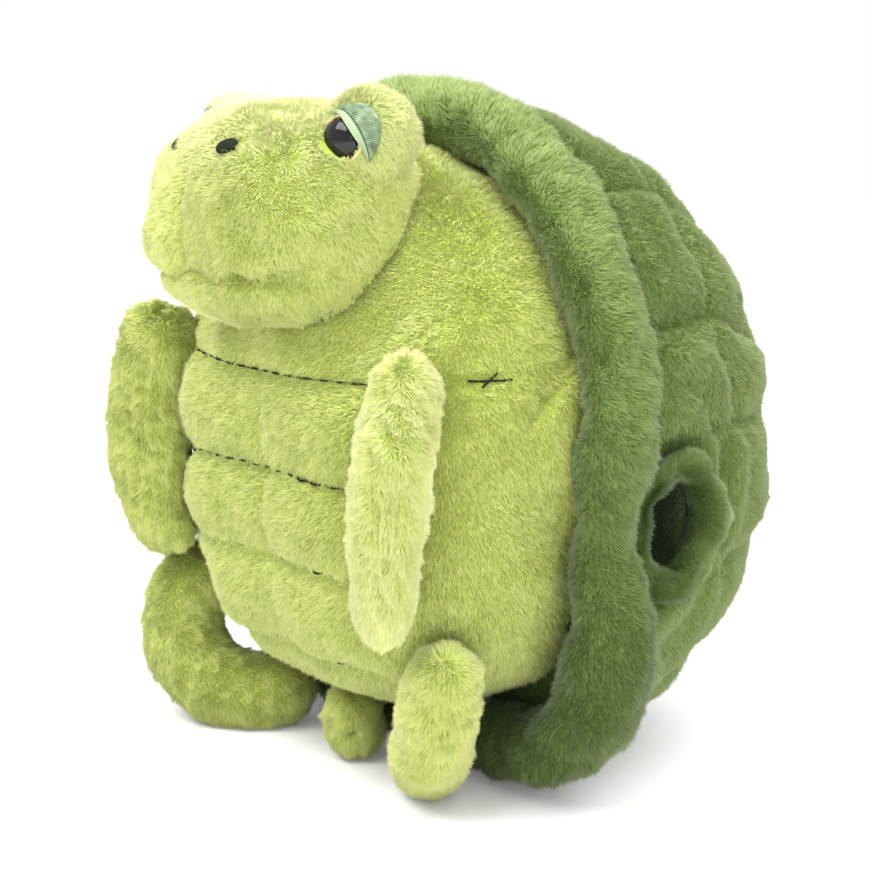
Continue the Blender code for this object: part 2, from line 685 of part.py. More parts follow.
def add_head(look, parts, cutters):
    """The head is one stuffed bag with two brows, hollowed where it sits on the body."""
    socket_radius = NECK_RADIUS + GAP + NECK_SEAM + NECK_SLACK
    socket = add_cutter("neck_cutter", neck_ball(socket_radius, 32, 16), cutters)
    inner = add_cutter("head_inside", shrink(ball(24, 14, head_point), FABRIC), cutters)
    grown = add_cutter("head_grown", shrink(ball(24, 14, head_point), -GAP), cutters)
    cover = add_object("head_cover", ball(24, 14, head_point), look["fur"], parts, NECK)
    filling = shrink(ball(24, 14, head_point), FABRIC + GAP)
    filling = add_object("head_stuffing", filling, look["cotton"], parts, NECK)
    hollows = [inner]
    holes = [socket]
    pieces = [cover, filling, add_neck_seam(look, parts)]
    for side_name, side in SIDES:
        combine(cover, add_cutter("brow_" + side_name, brow_mesh(side, 0.0), cutters), "UNION")
        padding = brow_mesh(side, -FABRIC - GAP)
        combine(filling, add_cutter("brow_padding_" + side_name, padding, cutters), "UNION")
        hollows.append(add_cutter("brow_inside_" + side_name, brow_mesh(side, -FABRIC), cutters))
        eye_pieces, hole = add_eye(side_name, side, cutters, look, parts)
        holes.append(hole)
        pieces += eye_pieces
        pieces.append(add_lid(side_name, side, grown, look, parts))
        pieces.append(add_nostril(side_name, side, grown, look, parts))
    cut(cover, *hollows, *holes)
    cut(filling, *holes)

    pivot = bpy.data.objects.new("neck_pivot", None)
    pivot.location = NECK
    parts.objects.link(pivot)
    for item in pieces:
        item.parent = pivot
        item.matrix_parent_inverse = Matrix.Translation(-NECK)


# Sewn-on limbs

def limb_arc(root, bow, reach):
    """Arc of a circle through the root, the bowed middle and the tip, and the arc's axis."""
    normal = bow.cross(reach)
    centre = (reach * bow.length_squared - bow * reach.length_squared).cross(normal)
    centre /= 2.0 * normal.length_squared
    start = -centre
    end = reach - centre
    sweep = math.atan2(normal.normalized().dot(start.cross(end)), start.dot(end))
    sweep %= 2.0 * math.pi

    def place(share):
        return root + centre + Matrix.Rotation(sweep * share, 3, normal) @ start
    return place, normal.normalized()


def limb_mesh(arc, radii, segments, rings):
    """A tapered sausage with round ends along an arc."""
    path, side = arc
    cap_share = 3.0 / rings
    first, middle, last = radii

    def point_of(unit):
        turn = math.acos(min(max(unit.z, -1.0), 1.0)) / math.pi
        share = min(max((turn - cap_share) / (1.0 - 2.0 * cap_share), 0.0), 1.0)
        polar = min(turn, cap_share) + max(turn - 1.0 + cap_share, 0.0)
        polar *= math.pi / (2.0 * cap_share)
        ahead = (path(share + STEP_SHARE) - path(share - STEP_SHARE)).normalized()
        front = side.cross(ahead)
        around = math.atan2(unit.y, unit.x)
        radius = first * (1.0 - share) * (1.0 - 2.0 * share) + 4.0 * middle * share * (1.0 - share)
        radius += last * share * (2.0 * share - 1.0)
        spoke = side * math.cos(around) + front * math.sin(around)
        place = path(share) + (spoke * math.sin(polar) - ahead * math.cos(polar)) * radius
        place.z = max(place.z, 0.0)
        return place
    return ball(segments, rings, point_of)


def add_limb(name, side, limb, look, parts):
    """Cloth cover, open where it is sewn to the body, and the stuffing inside it."""
    shares, radii, bow, reach = limb
    root = body_point(shares) + outward(body_point, shares) * (radii[0] - SEAM_SINK)
    reach = reach.copy()
    if reach.z == 0.0:
        reach.z = radii[2] - FLAT - root.z
    arc = limb_arc(root, bow, reach)
    opening = radii[0] * SEAM_OPENING_SHARE
    seam = body_point(shares)

    def near_seam(centre):
        return (centre - seam).length < opening
    skin = mirrored(remove_faces(limb_mesh(arc, radii, 12, 12), near_seam), side)
    filling = mirrored(remove_faces(limb_mesh(arc, radii, 12, 12), near_seam), side)
    hinge = Vector((root.x * side, root.y, root.z))
    add_wall(add_object(name + "_cover", skin, look["fur"], parts, hinge), FABRIC)
    add_object(name + "_stuffing", shrink(filling, FABRIC + GAP), look["cotton"], parts, hinge)
    return ball(24, 12, lambda unit: hinge + unit * (radii[0] + 2 * GAP))


def add_limbs(body_cover, look, parts, cutters):
    flipper = (FLIPPER_SHARES, FLIPPER_RADII, FLIPPER_BOW, FLIPPER_REACH)
    tail = (TAIL_SHARES, TAIL_RADII, TAIL_BOW, TAIL_REACH)
    limbs = [("tail", 1.0, tail)]
    for (side_name, side), radii, bow, reach in zip(SIDES, LEG_RADII, LEG_BOWS, LEG_REACHES):
        limbs.append(("flipper_" + side_name, side, flipper))
        limbs.append(("leg_" + side_name, side, (HIP_SHARES, radii, bow, reach)))
    for name, side, limb in limbs:
        dent = add_limb(name, side, limb, look, parts)
        cut(body_cover, add_cutter(name + "_dent", dent, cutters))


def main():
    clear_scene()
    parts = new_collection("plush_turtle")
    cutters = new_collection("cutters")
    look = {
        "fur": new_material("body_fur", BODY_GREEN, 0.95),
        "shell": new_material("shell_fur", SHELL_GREEN, 0.95),
        "lining": new_material("tunnel_fleece", SHELL_GREEN, 0.9),
        "cotton": new_material("cotton_stuffing", COTTON, 0.95),
        "thread": new_material("black_thread", THREAD_BLACK, 0.7),
        "satin": new_material("satin_lid", SATIN_GREEN, 0.45),
        "gold": new_material("gold_ring", GOLD, 0.35),
        "eye": new_material("black_eye", EYE_BLACK, 0.05),
        "plastic": new_material("white_plastic", COTTON, 0.5),
    }
    body_cover = add_body(look, parts)
    add_shell(look, parts, cutters)
    add_roll(look, parts)
    add_stitching(look, parts)
    add_head(look, parts, cutters)
    add_limbs(body_cover, look, parts, cutters)


main()
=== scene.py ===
"""Looks of the round plush turtle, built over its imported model.

Every stuffed piece has a cloth form and a pile of fur strands that is sown over it. Metres, +Z up.
The turtle looks along -Y and its left side is at +X.
"""
import math

import bmesh
import bpy
import numpy as np
from mathutils import Matrix, Vector


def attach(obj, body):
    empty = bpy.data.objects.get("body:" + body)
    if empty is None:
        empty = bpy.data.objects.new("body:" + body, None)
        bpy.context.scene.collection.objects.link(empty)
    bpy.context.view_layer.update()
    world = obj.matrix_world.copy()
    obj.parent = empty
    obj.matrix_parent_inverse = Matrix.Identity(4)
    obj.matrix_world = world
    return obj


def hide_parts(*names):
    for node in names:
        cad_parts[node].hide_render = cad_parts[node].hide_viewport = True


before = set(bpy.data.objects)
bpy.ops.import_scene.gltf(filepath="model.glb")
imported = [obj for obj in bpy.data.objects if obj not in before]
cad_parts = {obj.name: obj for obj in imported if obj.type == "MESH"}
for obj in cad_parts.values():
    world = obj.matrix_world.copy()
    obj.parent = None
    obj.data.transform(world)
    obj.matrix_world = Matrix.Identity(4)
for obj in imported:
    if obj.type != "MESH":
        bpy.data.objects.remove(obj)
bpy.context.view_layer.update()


# Small numeric tools

def unit(vectors):
    return vectors / np.maximum(np.linalg.norm(vectors, axis=-1, keepdims=True), 1e-12)


def smooth_step(value, low, high):
    share = np.clip((value - low) / (high - low), 0.0, 1.0)
    return share * share * (3.0 - 2.0 * share)


def mixed(lower, upper, height_share):
    """The lower value below the middle, the upper one above it, with a smooth change between."""
    return lower + (upper - lower) * smooth_step(height_share, -0.25, 0.25)


def bump(distance, spread):
    return np.exp(-((distance / spread) ** 2))


def outline_reach(across, up, exponent):
    """How far a superellipse with halves of 1 reaches along each way."""
    return (np.abs(across) ** exponent + np.abs(up) ** exponent) ** (-1.0 / exponent)


def turns(count):
    """Equally spaced angles round a circle."""
    return np.arange(count) * 2.0 * math.pi / count


def mirrored(points):
    """All the points brought to the left side."""
    return np.stack([np.abs(points[:, 0]), points[:, 1], points[:, 2]], axis=1)


def rested(points):
    """The points, with none below the floor."""
    points[:, 2] = np.maximum(points[:, 2], 0.0)
    return points


class Waves:
    """Smooth seeded noise: a sum of plane waves, with its gradient."""

    def __init__(self, seed, length, count=14):
        rng = np.random.default_rng(seed)
        ways = unit(rng.normal(size=(count, 3)))
        lengths = length * rng.uniform(0.7, 1.5, count)
        self.turns = ways * (2.0 * math.pi / lengths)[:, None]
        self.phases = rng.uniform(0.0, 2.0 * math.pi, count)
        self.scale = math.sqrt(2.0 / count)

    def value(self, points):
        return np.sin(points @ self.turns.T + self.phases).sum(1) * self.scale

    def slope(self, points):
        swing = np.cos(points @ self.turns.T + self.phases)
        return swing @ unit(self.turns) * self.scale


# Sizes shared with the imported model

SIDES = ((1.0, "left"), (-1.0, "right"))
ROLL_RADIUS = 0.019
ROLL_HALF_WIDTH = 0.165
ROLL_TOP_Z = 0.359
ROLL_BOTTOM_Z = 0.0185
ROLL_Y = -0.030
ROLL_MIDDLE_Z = (ROLL_TOP_Z + ROLL_BOTTOM_Z) / 2
ROLL_HALF_HEIGHT = (ROLL_TOP_Z - ROLL_BOTTOM_Z) / 2
ROLL_EXPONENTS = (4.0, 2.1)        # of the superellipse, below and above the middle
BODY_DEPTH = 0.105
BODY_EXPONENTS = (2.6, 2.05)
BODY_PROFILE = 3.0                 # exponent of the section from front to back
BODY_OVERLAP = 0.0008              # of body and roll
BACK_GAP = 0.0003                  # between body and shell
BODY_MIDDLE = np.array([0.0, ROLL_Y, ROLL_MIDDLE_Z])
BODY_HALF_WIDTH = ROLL_HALF_WIDTH - ROLL_RADIUS + BODY_OVERLAP
BODY_HALF_HEIGHT = ROLL_HALF_HEIGHT - ROLL_RADIUS + BODY_OVERLAP
SHELL_HALF_WIDTH = 0.160
SHELL_TOP_Z = 0.358
SHELL_MIDDLE_Z = 0.195
SHELL_DEPTH = 0.180
SHELL_SINK = 0.004
SHELL_EXPONENTS = (2.25, 2.0)
SHELL_MIDDLE = np.array([0.0, ROLL_Y + ROLL_RADIUS + BACK_GAP, SHELL_MIDDLE_Z])
TUNNEL = np.array([0.0, 0.0125, 0.150])
TUNNEL_HALF_DEPTH = 0.017
TUNNEL_HALF_HEIGHT = 0.029
DRAW_IN = 0.011
HEAD = np.array([0.0, -0.117, 0.305])
HEAD_HALVES = np.array([0.076, 0.064, 0.061])
HEAD_EXPONENT = 2.3
BROW = np.array([0.061, -0.1055, 0.348])
BROW_RADIUS = 0.0225
EYE_AIM = unit(np.array([0.38, -0.92, 0.06]))
EYE_PLACE = unit(np.array([0.10, -0.98, -0.13]))
EYE_CENTRE = BROW + EYE_PLACE * (BROW_RADIUS - 0.0030)
NECK = np.array([0.0, 0.003, 0.215])
NECK_RADIUS = 0.1405
NECK_AXIS = unit(HEAD - NECK)

# Colours, linear. The roots are darker than the tips, partly the pile's own colour and partly painted shade
# deep in the pile

BODY_ROOT = (0.360, 0.480, 0.058)
BODY_TIP = (0.820, 0.885, 0.262)
# Painted shade: the backing cloth is set dark, as the shade between the strands
BODY_CLOTH = (0.330, 0.405, 0.080)
SHELL_ROOT = (0.098, 0.172, 0.030)
SHELL_TIP = (0.335, 0.432, 0.130)
# Painted shade: this backing cloth is set dark too, as the shade between the strands
SHELL_CLOTH = (0.140, 0.210, 0.045)
FLEECE = (0.045, 0.075, 0.018)
FLEECE_SHADE = (0.010, 0.022, 0.005)


# Shapes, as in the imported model

def rounded(ways, halves, section, profile):
    across = (np.abs(ways[:, 0]) / halves[0]) ** section + (np.abs(ways[:, 2]) / halves[2]) ** section
    along = (np.abs(ways[:, 1]) / halves[1]) ** profile
    return ways * ((across ** (profile / section) + along) ** (-1.0 / profile))[:, None]


def drawn_in(points, half_width):
    """The waist that the hand opening pulls into the sides."""
    pull = bump(points[:, 2] - TUNNEL[2], 0.042) * bump(points[:, 1] - ROLL_Y, 0.060)
    out = points.copy()
    out[:, 0] *= 1.0 - DRAW_IN * pull / half_width
    return out


def under_head(points):
    """The body pressed in where the head rests on it."""
    spokes = points - NECK
    lengths = np.linalg.norm(spokes, axis=1)
    angles = np.degrees(np.arccos(np.clip(unit(spokes) @ NECK_AXIS, -1.0, 1.0)))
    pressed = 1.0 - smooth_step(angles, 34.0, 50.0)
    return points - unit(spokes) * (np.maximum(lengths - NECK_RADIUS, 0.0) * pressed)[:, None]


def body_surface(ways):
    halves = (BODY_HALF_WIDTH, BODY_DEPTH, BODY_HALF_HEIGHT)
    points = rounded(ways, halves, mixed(*BODY_EXPONENTS, ways[:, 2]), BODY_PROFILE)
    back = points[:, 1] > 0.0
    points[back, 1] *= (ROLL_RADIUS - BACK_GAP) / BODY_DEPTH
    return under_head(drawn_in(BODY_MIDDLE + points, BODY_HALF_WIDTH))


def shell_half_heights(rises):
    return np.where(rises >= 0.0, SHELL_TOP_Z - SHELL_MIDDLE_Z, SHELL_MIDDLE_Z + SHELL_SINK)


def shell_surface(ways):
    exponent = mixed(*SHELL_EXPONENTS, ways[:, 2])
    across = (np.abs(ways[:, 0]) / SHELL_HALF_WIDTH) ** exponent
    across = across + (np.abs(ways[:, 2]) / shell_half_heights(ways[:, 2])) ** exponent
    along = (np.abs(ways[:, 1]) / SHELL_DEPTH) ** exponent
    points = SHELL_MIDDLE + ways * ((across + along) ** (-1.0 / exponent))[:, None]
    return drawn_in(rested(points), SHELL_HALF_WIDTH)


def shell_side_x(y, z):
    """How far out the shell's side lies at a depth and a height."""
    rise = z - SHELL_MIDDLE[2]
    height_share = np.abs(rise) / shell_half_heights(rise)
    exponent = mixed(*SHELL_EXPONENTS, np.copysign(height_share, rise))
    depth_share = np.abs(y - SHELL_MIDDLE[1]) / SHELL_DEPTH
    x = SHELL_HALF_WIDTH * (1.0 - height_share ** exponent - depth_share ** exponent) ** (1.0 / exponent)
    return drawn_in(np.stack([x, y, z], axis=1), SHELL_HALF_WIDTH)[:, 0]


def roll_line(angles):
    across, up = np.cos(angles), np.sin(angles)
    reach = outline_reach(across, up, mixed(*ROLL_EXPONENTS, up))
    line = np.zeros((len(angles), 3))
    line[:, 0] = ROLL_HALF_WIDTH * across * reach
    line[:, 1] = ROLL_Y
    line[:, 2] = ROLL_MIDDLE_Z + ROLL_HALF_HEIGHT * up * reach
    return line


def mouth_distance(points, half_depth, half_height):
    """Distance from the hand opening's middle line, as a share of the given halves."""
    return np.hypot((points[:, 1] - TUNNEL[1]) / half_depth, (points[:, 2] - TUNNEL[2]) / half_height)


# Meshes

def grid_faces(rows, columns, rows_close=True, columns_close=True):
    """Quads of a grid whose points lie row after row."""
    faces = []
    for i in range(rows if rows_close else rows - 1):
        j = (i + 1) % rows
        for k in range(columns if columns_close else columns - 1):
            m = (k + 1) % columns
            faces.append((i * columns + k, j * columns + k, j * columns + m, i * columns + m))
    return faces


def ring_grid(around, across):
    """Angles of a torus grid and its faces."""
    return np.repeat(turns(around), across), np.tile(turns(across), around), grid_faces(around, across)


def sphere_ways(segments, rings, pole="Z"):
    """Unit directions and faces of a sphere of quads and triangles."""
    polar = np.linspace(0.0, math.pi, rings + 1)[1:-1]
    grid = np.array([(math.sin(p) * math.cos(a), math.sin(p) * math.sin(a), math.cos(p))
                     for p in polar for a in turns(segments)])
    ways = np.vstack([[(0.0, 0.0, 1.0)], grid, [(0.0, 0.0, -1.0)]])
    faces = []
    last = len(ways) - 1
    for s in range(segments):
        t = (s + 1) % segments
        faces.append((0, 1 + s, 1 + t))
        for r in range(rings - 2):
            a, b = 1 + r * segments, 1 + (r + 1) * segments
            faces.append((a + s, b + s, b + t, a + t))
        a = 1 + (rings - 2) * segments
        faces.append((a + s, last, a + t))
    if pole == "Y":
        ways = np.stack([ways[:, 0], -ways[:, 2], ways[:, 1]], axis=1)
    return ways, faces


def plain_object(name, points, faces):
    data = bpy.data.meshes.new(name)
    data.from_pydata([tuple(p) for p in points], [], faces)
    data.update()
    item = bpy.data.objects.new(name, data)
    bpy.context.scene.collection.objects.link(item)
    return item


def new_object(name, points, faces, material, body, replaces=()):
    item = plain_object(name, points, faces)
    item.data.materials.append(material)
    item.data.shade_smooth()
    turn_outward(item)
    if body:
        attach(item, body)
    if replaces:
        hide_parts(*replaces)
    return item


def turn_outward(item):
    mesh = bmesh.new()
    mesh.from_mesh(item.data)
    bmesh.ops.recalc_face_normals(mesh, faces=mesh.faces)
    mesh.to_mesh(item.data)
    mesh.free()


def apply_modifiers(item):
    graph = bpy.context.evaluated_depsgraph_get()
    data = bpy.data.meshes.new_from_object(item.evaluated_get(graph))
    item.modifiers.clear()
    old = item.data
    item.data = data
    bpy.data.meshes.remove(old)
    data.shade_smooth()


def cut_or_join(item, tool, operation):
    """Applies an exact boolean with another object, which is then removed."""
    modifier = item.modifiers.new("Boolean", "BOOLEAN")
    modifier.operation = operation
    modifier.solver = "EXACT"
    modifier.object = tool
    apply_modifiers(item)
    bpy.data.objects.remove(tool)


def mesh_arrays(item):
    """Vertex places and normals, and triangles."""
    data = item.data
    count = len(data.vertices)
    points = np.zeros(count * 3)
    data.vertices.foreach_get("co", points)
    normals = np.zeros(count * 3)
    data.vertices.foreach_get("normal", normals)
    data.calc_loop_triangles()
    triangles = np.zeros(len(data.loop_triangles) * 3, int)
    data.loop_triangles.foreach_get("vertices", triangles)
    return points.reshape(-1, 3), normals.reshape(-1, 3), triangles.reshape(-1, 3)


# Materials

def node_material(name, inputs):
    """A material with its node tree and its shader, whose inputs are set by name."""
    material = bpy.data.materials.new(name)
    material.use_nodes = True
    shader = material.node_tree.nodes["Principled BSDF"]
    for socket, value in inputs.items():
        shader.inputs[socket].default_value = value
    return material, material.node_tree, shader


def ramp(tree, value, stops):
    """The colour that a ramp gives for a value."""
    node = tree.nodes.new("ShaderNodeValToRGB")
    while len(node.color_ramp.elements) < len(stops):
        node.color_ramp.elements.new(0.5)
    for element, (place, colour) in zip(node.color_ramp.elements, stops):
        element.position = place
        element.color = (*colour, 1.0)
    tree.links.new(value, node.inputs["Fac"])
    return node.outputs["Color"]


def bake_map(tree):
    """The two values that the OFBake map holds, at outputs X and Y."""
    place = tree.nodes.new("ShaderNodeUVMap")
    place.uv_map = "OFBake"
    split = tree.nodes.new("ShaderNodeSeparateXYZ")
    tree.links.new(place.outputs["UV"], split.inputs["Vector"])
    return split.outputs


def noise_on_object(tree, scale):
    noise = tree.nodes.new("ShaderNodeTexNoise")
    noise.inputs["Scale"].default_value = scale
    coords = tree.nodes.new("ShaderNodeTexCoord")
    tree.links.new(coords.outputs["Object"], noise.inputs["Vector"])
    return noise


def fur_material(name, root, tip):
    """Strands get their colour from where they lie between root and tip, and from their tone, which carries
    painted light and shade besides the strands' own spread of tone.
    """
    material, tree, shader = node_material(name, {
        "Roughness": 0.75, "Specular IOR Level": 0.18, "Sheen Weight": 0.15, "Sheen Roughness": 0.5})
    values = bake_map(tree)
    middle = tuple(r * 0.45 + t * 0.55 for r, t in zip(root, tip))
    mix = tree.nodes.new("ShaderNodeMix")
    mix.data_type = "RGBA"
    mix.blend_type = "MULTIPLY"
    mix.inputs["Factor"].default_value = 1.0
    # Darker roots: partly the pile's own colour, partly painted shade deep in the pile
    along = ramp(tree, values["Y"], [(0.0, root), (0.40, middle), (0.85, tip)])
    # Tone below the middle darkens and above it lightens: the strands' own spread, plus the painted light
    # and shade that each pile's shade function adds
    tone = ramp(tree, values["X"], [
        (0.0, (0.30, 0.36, 0.25)), (0.5, (1.0, 1.0, 1.0)), (1.0, (1.18, 1.13, 1.75))])
    tree.links.new(along, mix.inputs["A"])
    tree.links.new(tone, mix.inputs["B"])
    tree.links.new(mix.outputs["Result"], shader.inputs["Base Color"])
    return material


def cloth_material(name, colour, darker, scale):
    """Backing cloth between the strands, with a fine knit."""
    material, tree, shader = node_material(name, {"Roughness": 0.95})
    noise = noise_on_object(tree, scale)
    noise.inputs["Detail"].default_value = 4.0
    knit = ramp(tree, noise.outputs["Fac"], [(0.3, darker), (0.7, colour)])
    tree.links.new(knit, shader.inputs["Base Color"])
    bumps = tree.nodes.new("ShaderNodeBump")
    bumps.inputs["Strength"].default_value = 0.5
    bumps.inputs["Distance"].default_value = 0.001
    tree.links.new(noise.outputs["Fac"], bumps.inputs["Height"])
    tree.links.new(bumps.outputs["Normal"], shader.inputs["Normal"])
    return material


def thread_material():
    material, tree, shader = node_material("thread_black", {"Roughness": 0.75, "Specular IOR Level": 0.15})
    noise = noise_on_object(tree, 900.0)
    colour = ramp(tree, noise.outputs["Fac"], [(0.3, (0.004, 0.007, 0.004)), (0.7, (0.016, 0.022, 0.014))])
    tree.links.new(colour, shader.inputs["Base Color"])
    return material


def lid_material():
    """Satin stitch, from its dark gaps to its lightest threads."""
    material, tree, shader = node_material("lid_satin", {"Roughness": 0.50})
    colour = ramp(tree, bake_map(tree)["X"], [
        (0.0, (0.012, 0.030, 0.014)), (0.30, (0.075, 0.130, 0.058)),
        (0.60, (0.190, 0.275, 0.145)), (1.0, (0.400, 0.480, 0.310))])
    tree.links.new(colour, shader.inputs["Base Color"])
    return material


def make_materials():
    look = {
        "body_fur": fur_material("fur_light", BODY_ROOT, BODY_TIP),
        "shell_fur": fur_material("fur_dark", SHELL_ROOT, SHELL_TIP),
        # The backing cloths' dark colours are painted shade between the strands
        "body_cloth": cloth_material("cloth_light", BODY_CLOTH, BODY_ROOT, 400.0),
        "shell_cloth": cloth_material("cloth_dark", SHELL_CLOTH, SHELL_ROOT, 400.0),
        "fleece": cloth_material("fleece_dark", FLEECE, FLEECE_SHADE, 700.0),
        "thread": thread_material(),
        "satin": lid_material(),
    }
    look["eye"] = node_material("eye_gloss", {
        "Base Color": (0.006, 0.006, 0.007, 1.0), "Roughness": 0.04, "Specular IOR Level": 0.30,
        "Coat Weight": 0.15, "Coat Roughness": 0.02})[0]
    look["gold"] = node_material("gold_rim", {
        "Base Color": (0.80, 0.60, 0.33, 1.0), "Roughness": 0.30, "Metallic": 0.3})[0]
    for _, side_name in SIDES:
        washer = node_material("washer_plastic_" + side_name, {
            "Base Color": (0.80, 0.80, 0.77, 1.0), "Roughness": 0.5})[0]
        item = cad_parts["eye_washer_" + side_name]
        item.data.materials.clear()
        item.data.materials.append(washer)
    return look


# Fur

MOST_STRANDS = 65000       # in one mesh
STRAND_WIDTH = 0.00058
STRAND_ROOT_DEPTH = 0.0008
SHORTEST_STRAND = 0.0008
LOWEST_STRAND = 0.0002     # above the floor
SWIRL_LENGTH = 0.030
LOCK_LENGTH = 0.0095


def sown(item, count, seed, keep=None):
    """Places and normals of strands, spread evenly over an item's surface."""
    rng = np.random.default_rng(seed)
    points, normals, triangles = mesh_arrays(item)
    a, b, c = (points[triangles[:, k]] for k in range(3))
    areas = np.linalg.norm(np.cross(b - a, c - a), axis=1) / 2.0
    if keep is not None:
        areas = areas * keep((a + b + c) / 3.0)
    chosen = rng.choice(len(triangles), size=count, p=areas / areas.sum())
    u, v = rng.random(count), rng.random(count)
    flip = u + v > 1.0
    u[flip], v[flip] = 1.0 - u[flip], 1.0 - v[flip]
    w = 1.0 - u - v
    corners = triangles[chosen]
    place = sum(points[corners[:, k]] * s[:, None] for k, s in enumerate((w, u, v)))
    normal = sum(normals[corners[:, k]] * s[:, None] for k, s in enumerate((w, u, v)))
    return place, unit(normal), rng


def flattened(ways, normal):
    """The ways without their share along the normal."""
    return ways - normal * (ways * normal).sum(1)[:, None]


def add_fur(name, item, count, seed, comb, length, lean, shade, look, kind, body, keep=None):
    """Sows strands on an item. comb and length give how they lie and their length; shade gives the painted
    light and shade added to their tone.
    """
    while count > MOST_STRANDS:
        count -= MOST_STRANDS
        add_fur(name + "_" + str(count), item, MOST_STRANDS, seed + count, comb, length, lean, shade,
                look, kind, body, keep)
    place, normal, rng = sown(item, count, seed, keep)
    swirls = Waves(seed + 1, SWIRL_LENGTH)
    locks = Waves(seed + 2, LOCK_LENGTH)
    drift = swirls.slope(place) * 0.26 + locks.slope(place) * 0.28
    drift += rng.normal(size=place.shape) * 0.13
    lay = flattened(unit(flattened(comb(place), normal)) * lean + drift, normal)
    span = length(place) if callable(length) else length
    span = span * rng.uniform(0.72, 1.15, count) * (1.0 + 0.12 * locks.value(place))
    corners, fall = strand_corners(place, normal, lay, np.maximum(span, SHORTEST_STRAND), rng)
    tone = 0.5 + 0.10 * rng.normal(size=count) + 0.06 * locks.value(place) + 0.05 * swirls.value(place)
    # Painted light and shade from the pile's shade function, added to the strands' own tone
    tone = np.clip(tone + shade(place), 0.02, 0.98)
    made = strand_mesh(name, corners, unit(normal * 0.9 + fall * 0.30), tone, look[kind])
    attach(made, body)
    made.parent = item
    made.matrix_parent_inverse = item.matrix_world.inverted()


def strand_corners(place, normal, lay, span, rng):
    """Three root corners and the tip of each strand, which rises and then falls the way it lies."""
    rise = unit(normal + lay * 0.55)
    fall = unit(normal * 0.75 + lay * 1.25)
    middle = place + rise * (span * 0.5)[:, None]
    tip = middle + fall * (span * 0.5)[:, None]
    root = place - normal * STRAND_ROOT_DEPTH
    side = unit(np.cross(unit(tip - root), normal + rng.normal(size=place.shape) * 0.5))
    other = np.cross(unit(tip - root), side)
    wide = STRAND_WIDTH * rng.uniform(0.7, 1.25, len(place))[:, None] / math.sqrt(3.0)
    ring = [root + (side * math.cos(t) + other * math.sin(t)) * wide for t in turns(3)]
    corners = np.stack(ring + [tip], axis=1)
    corners[:, :, 2] = np.maximum(corners[:, :, 2], LOWEST_STRAND)
    return corners, fall


def strand_mesh(name, corners, shading, tone, material):
    """Slim three-sided spikes: their sides face outward, so both ways of looking shade alike."""
    count = len(corners)
    data = bpy.data.meshes.new(name)
    data.vertices.add(count * 4)
    data.vertices.foreach_set("co", corners.astype(np.float32).ravel())
    pattern = np.array([0, 1, 3, 1, 2, 3, 2, 0, 3])
    loops = (np.arange(count)[:, None] * 4 + pattern).ravel()
    data.loops.add(count * 9)
    data.loops.foreach_set("vertex_index", loops.astype(np.int32))
    data.polygons.add(count * 3)
    data.polygons.foreach_set("loop_start", (np.arange(count * 3) * 3).astype(np.int32))
    data.polygons.foreach_set("loop_total", np.full(count * 3, 3, np.int32))
    heights = np.array([0.02, 0.02, 0.02, 0.98])
    uv = np.empty((count, 9, 2), np.float32)
    uv[:, :, 0] = tone[:, None]
    uv[:, :, 1] = heights[pattern]
    data.uv_layers.new(name="OFBake").data.foreach_set("uv", uv.ravel())
    data.update(calc_edges=True)
    data.validate()
    data.shade_smooth()
    data.normals_split_custom_set_from_vertices(np.repeat(shading, 4, axis=0).tolist())
    data.materials.append(material)
    item = bpy.data.objects.new(name, data)
    bpy.context.scene.collection.objects.link(item)
    return item


def above_floor(place):
    return smooth_step(place[:, 2], LOWEST_STRAND, 0.002)


# Body

ROW_HEIGHTS = (0.225, 0.173, 0.1245, 0.072)
ROW_RISES = (0.007, -0.008, 0.0, 0.0)
ROW_REACHES = (0.132, 0.114, 0.100, 0.072)
WEDGE_Y = -0.072           # tip of the fold on each flank
WEDGE_Z = 0.205
BODY_INSET = 0.0022        # cloth under the solid's surface, for the pile
BODY_PILE = 0.0043         # length of the strands


def row_line(row, x):
    return ROW_HEIGHTS[row] + ROW_RISES[row] * (np.abs(x) / ROW_REACHES[row]) ** 4


def body_outward(points):
    return unit((points - BODY_MIDDLE) * np.array([1.0, 1.6, 1.0]))


def body_form(ways):
    """The body with its sewn rows, its middle seam and the folds beside the roll."""
    points = body_surface(ways)
    out = body_outward(points)
    x, y, z = points.T
    reach = np.abs(x)
    front = smooth_step(-y, 0.045, 0.085)
    lift = np.zeros(len(points))
    for row, half in enumerate(ROW_REACHES):
        away = z - row_line(row, x)
        inside = 1.0 - smooth_step(reach, half - 0.012, half + 0.012)
        lift -= 0.0042 * bump(away, 0.0055) * inside * front
        lift += 0.0016 * bump(np.abs(away) - 0.022, 0.014) * inside * front
    lift -= 0.0020 * bump(x - 0.003, 0.004) * front * smooth_step(0.232 - z, 0.0, 0.02)
    lift += 0.0012 * Waves(3, 0.060).value(points) + 0.0005 * Waves(4, 0.025).value(points)
    flank = smooth_step(reach, 0.116, 0.130)
    behind, above = y - WEDGE_Y, z - WEDGE_Z
    wedge = smooth_step(behind * 0.95 - above, -0.002, 0.004)
    wedge *= smooth_step(behind * 1.60 + above, -0.004, 0.020)
    lift += 0.0050 * wedge * flank * smooth_step(y, -0.080, -0.060)
    crease = above - behind * 0.95
    lift -= 0.0040 * bump(crease - 0.004, 0.005) * flank * smooth_step(y, -0.082, -0.064)
    belly = smooth_step(-y, 0.080, 0.120) * smooth_step(z, 0.020, 0.060)
    belly = belly * (1.0 - smooth_step(z, 0.225, 0.245))
    lift += 0.0055 * belly * bump(reach - 0.055, 0.050)
    return rested(points + out * (lift - BODY_INSET)[:, None])


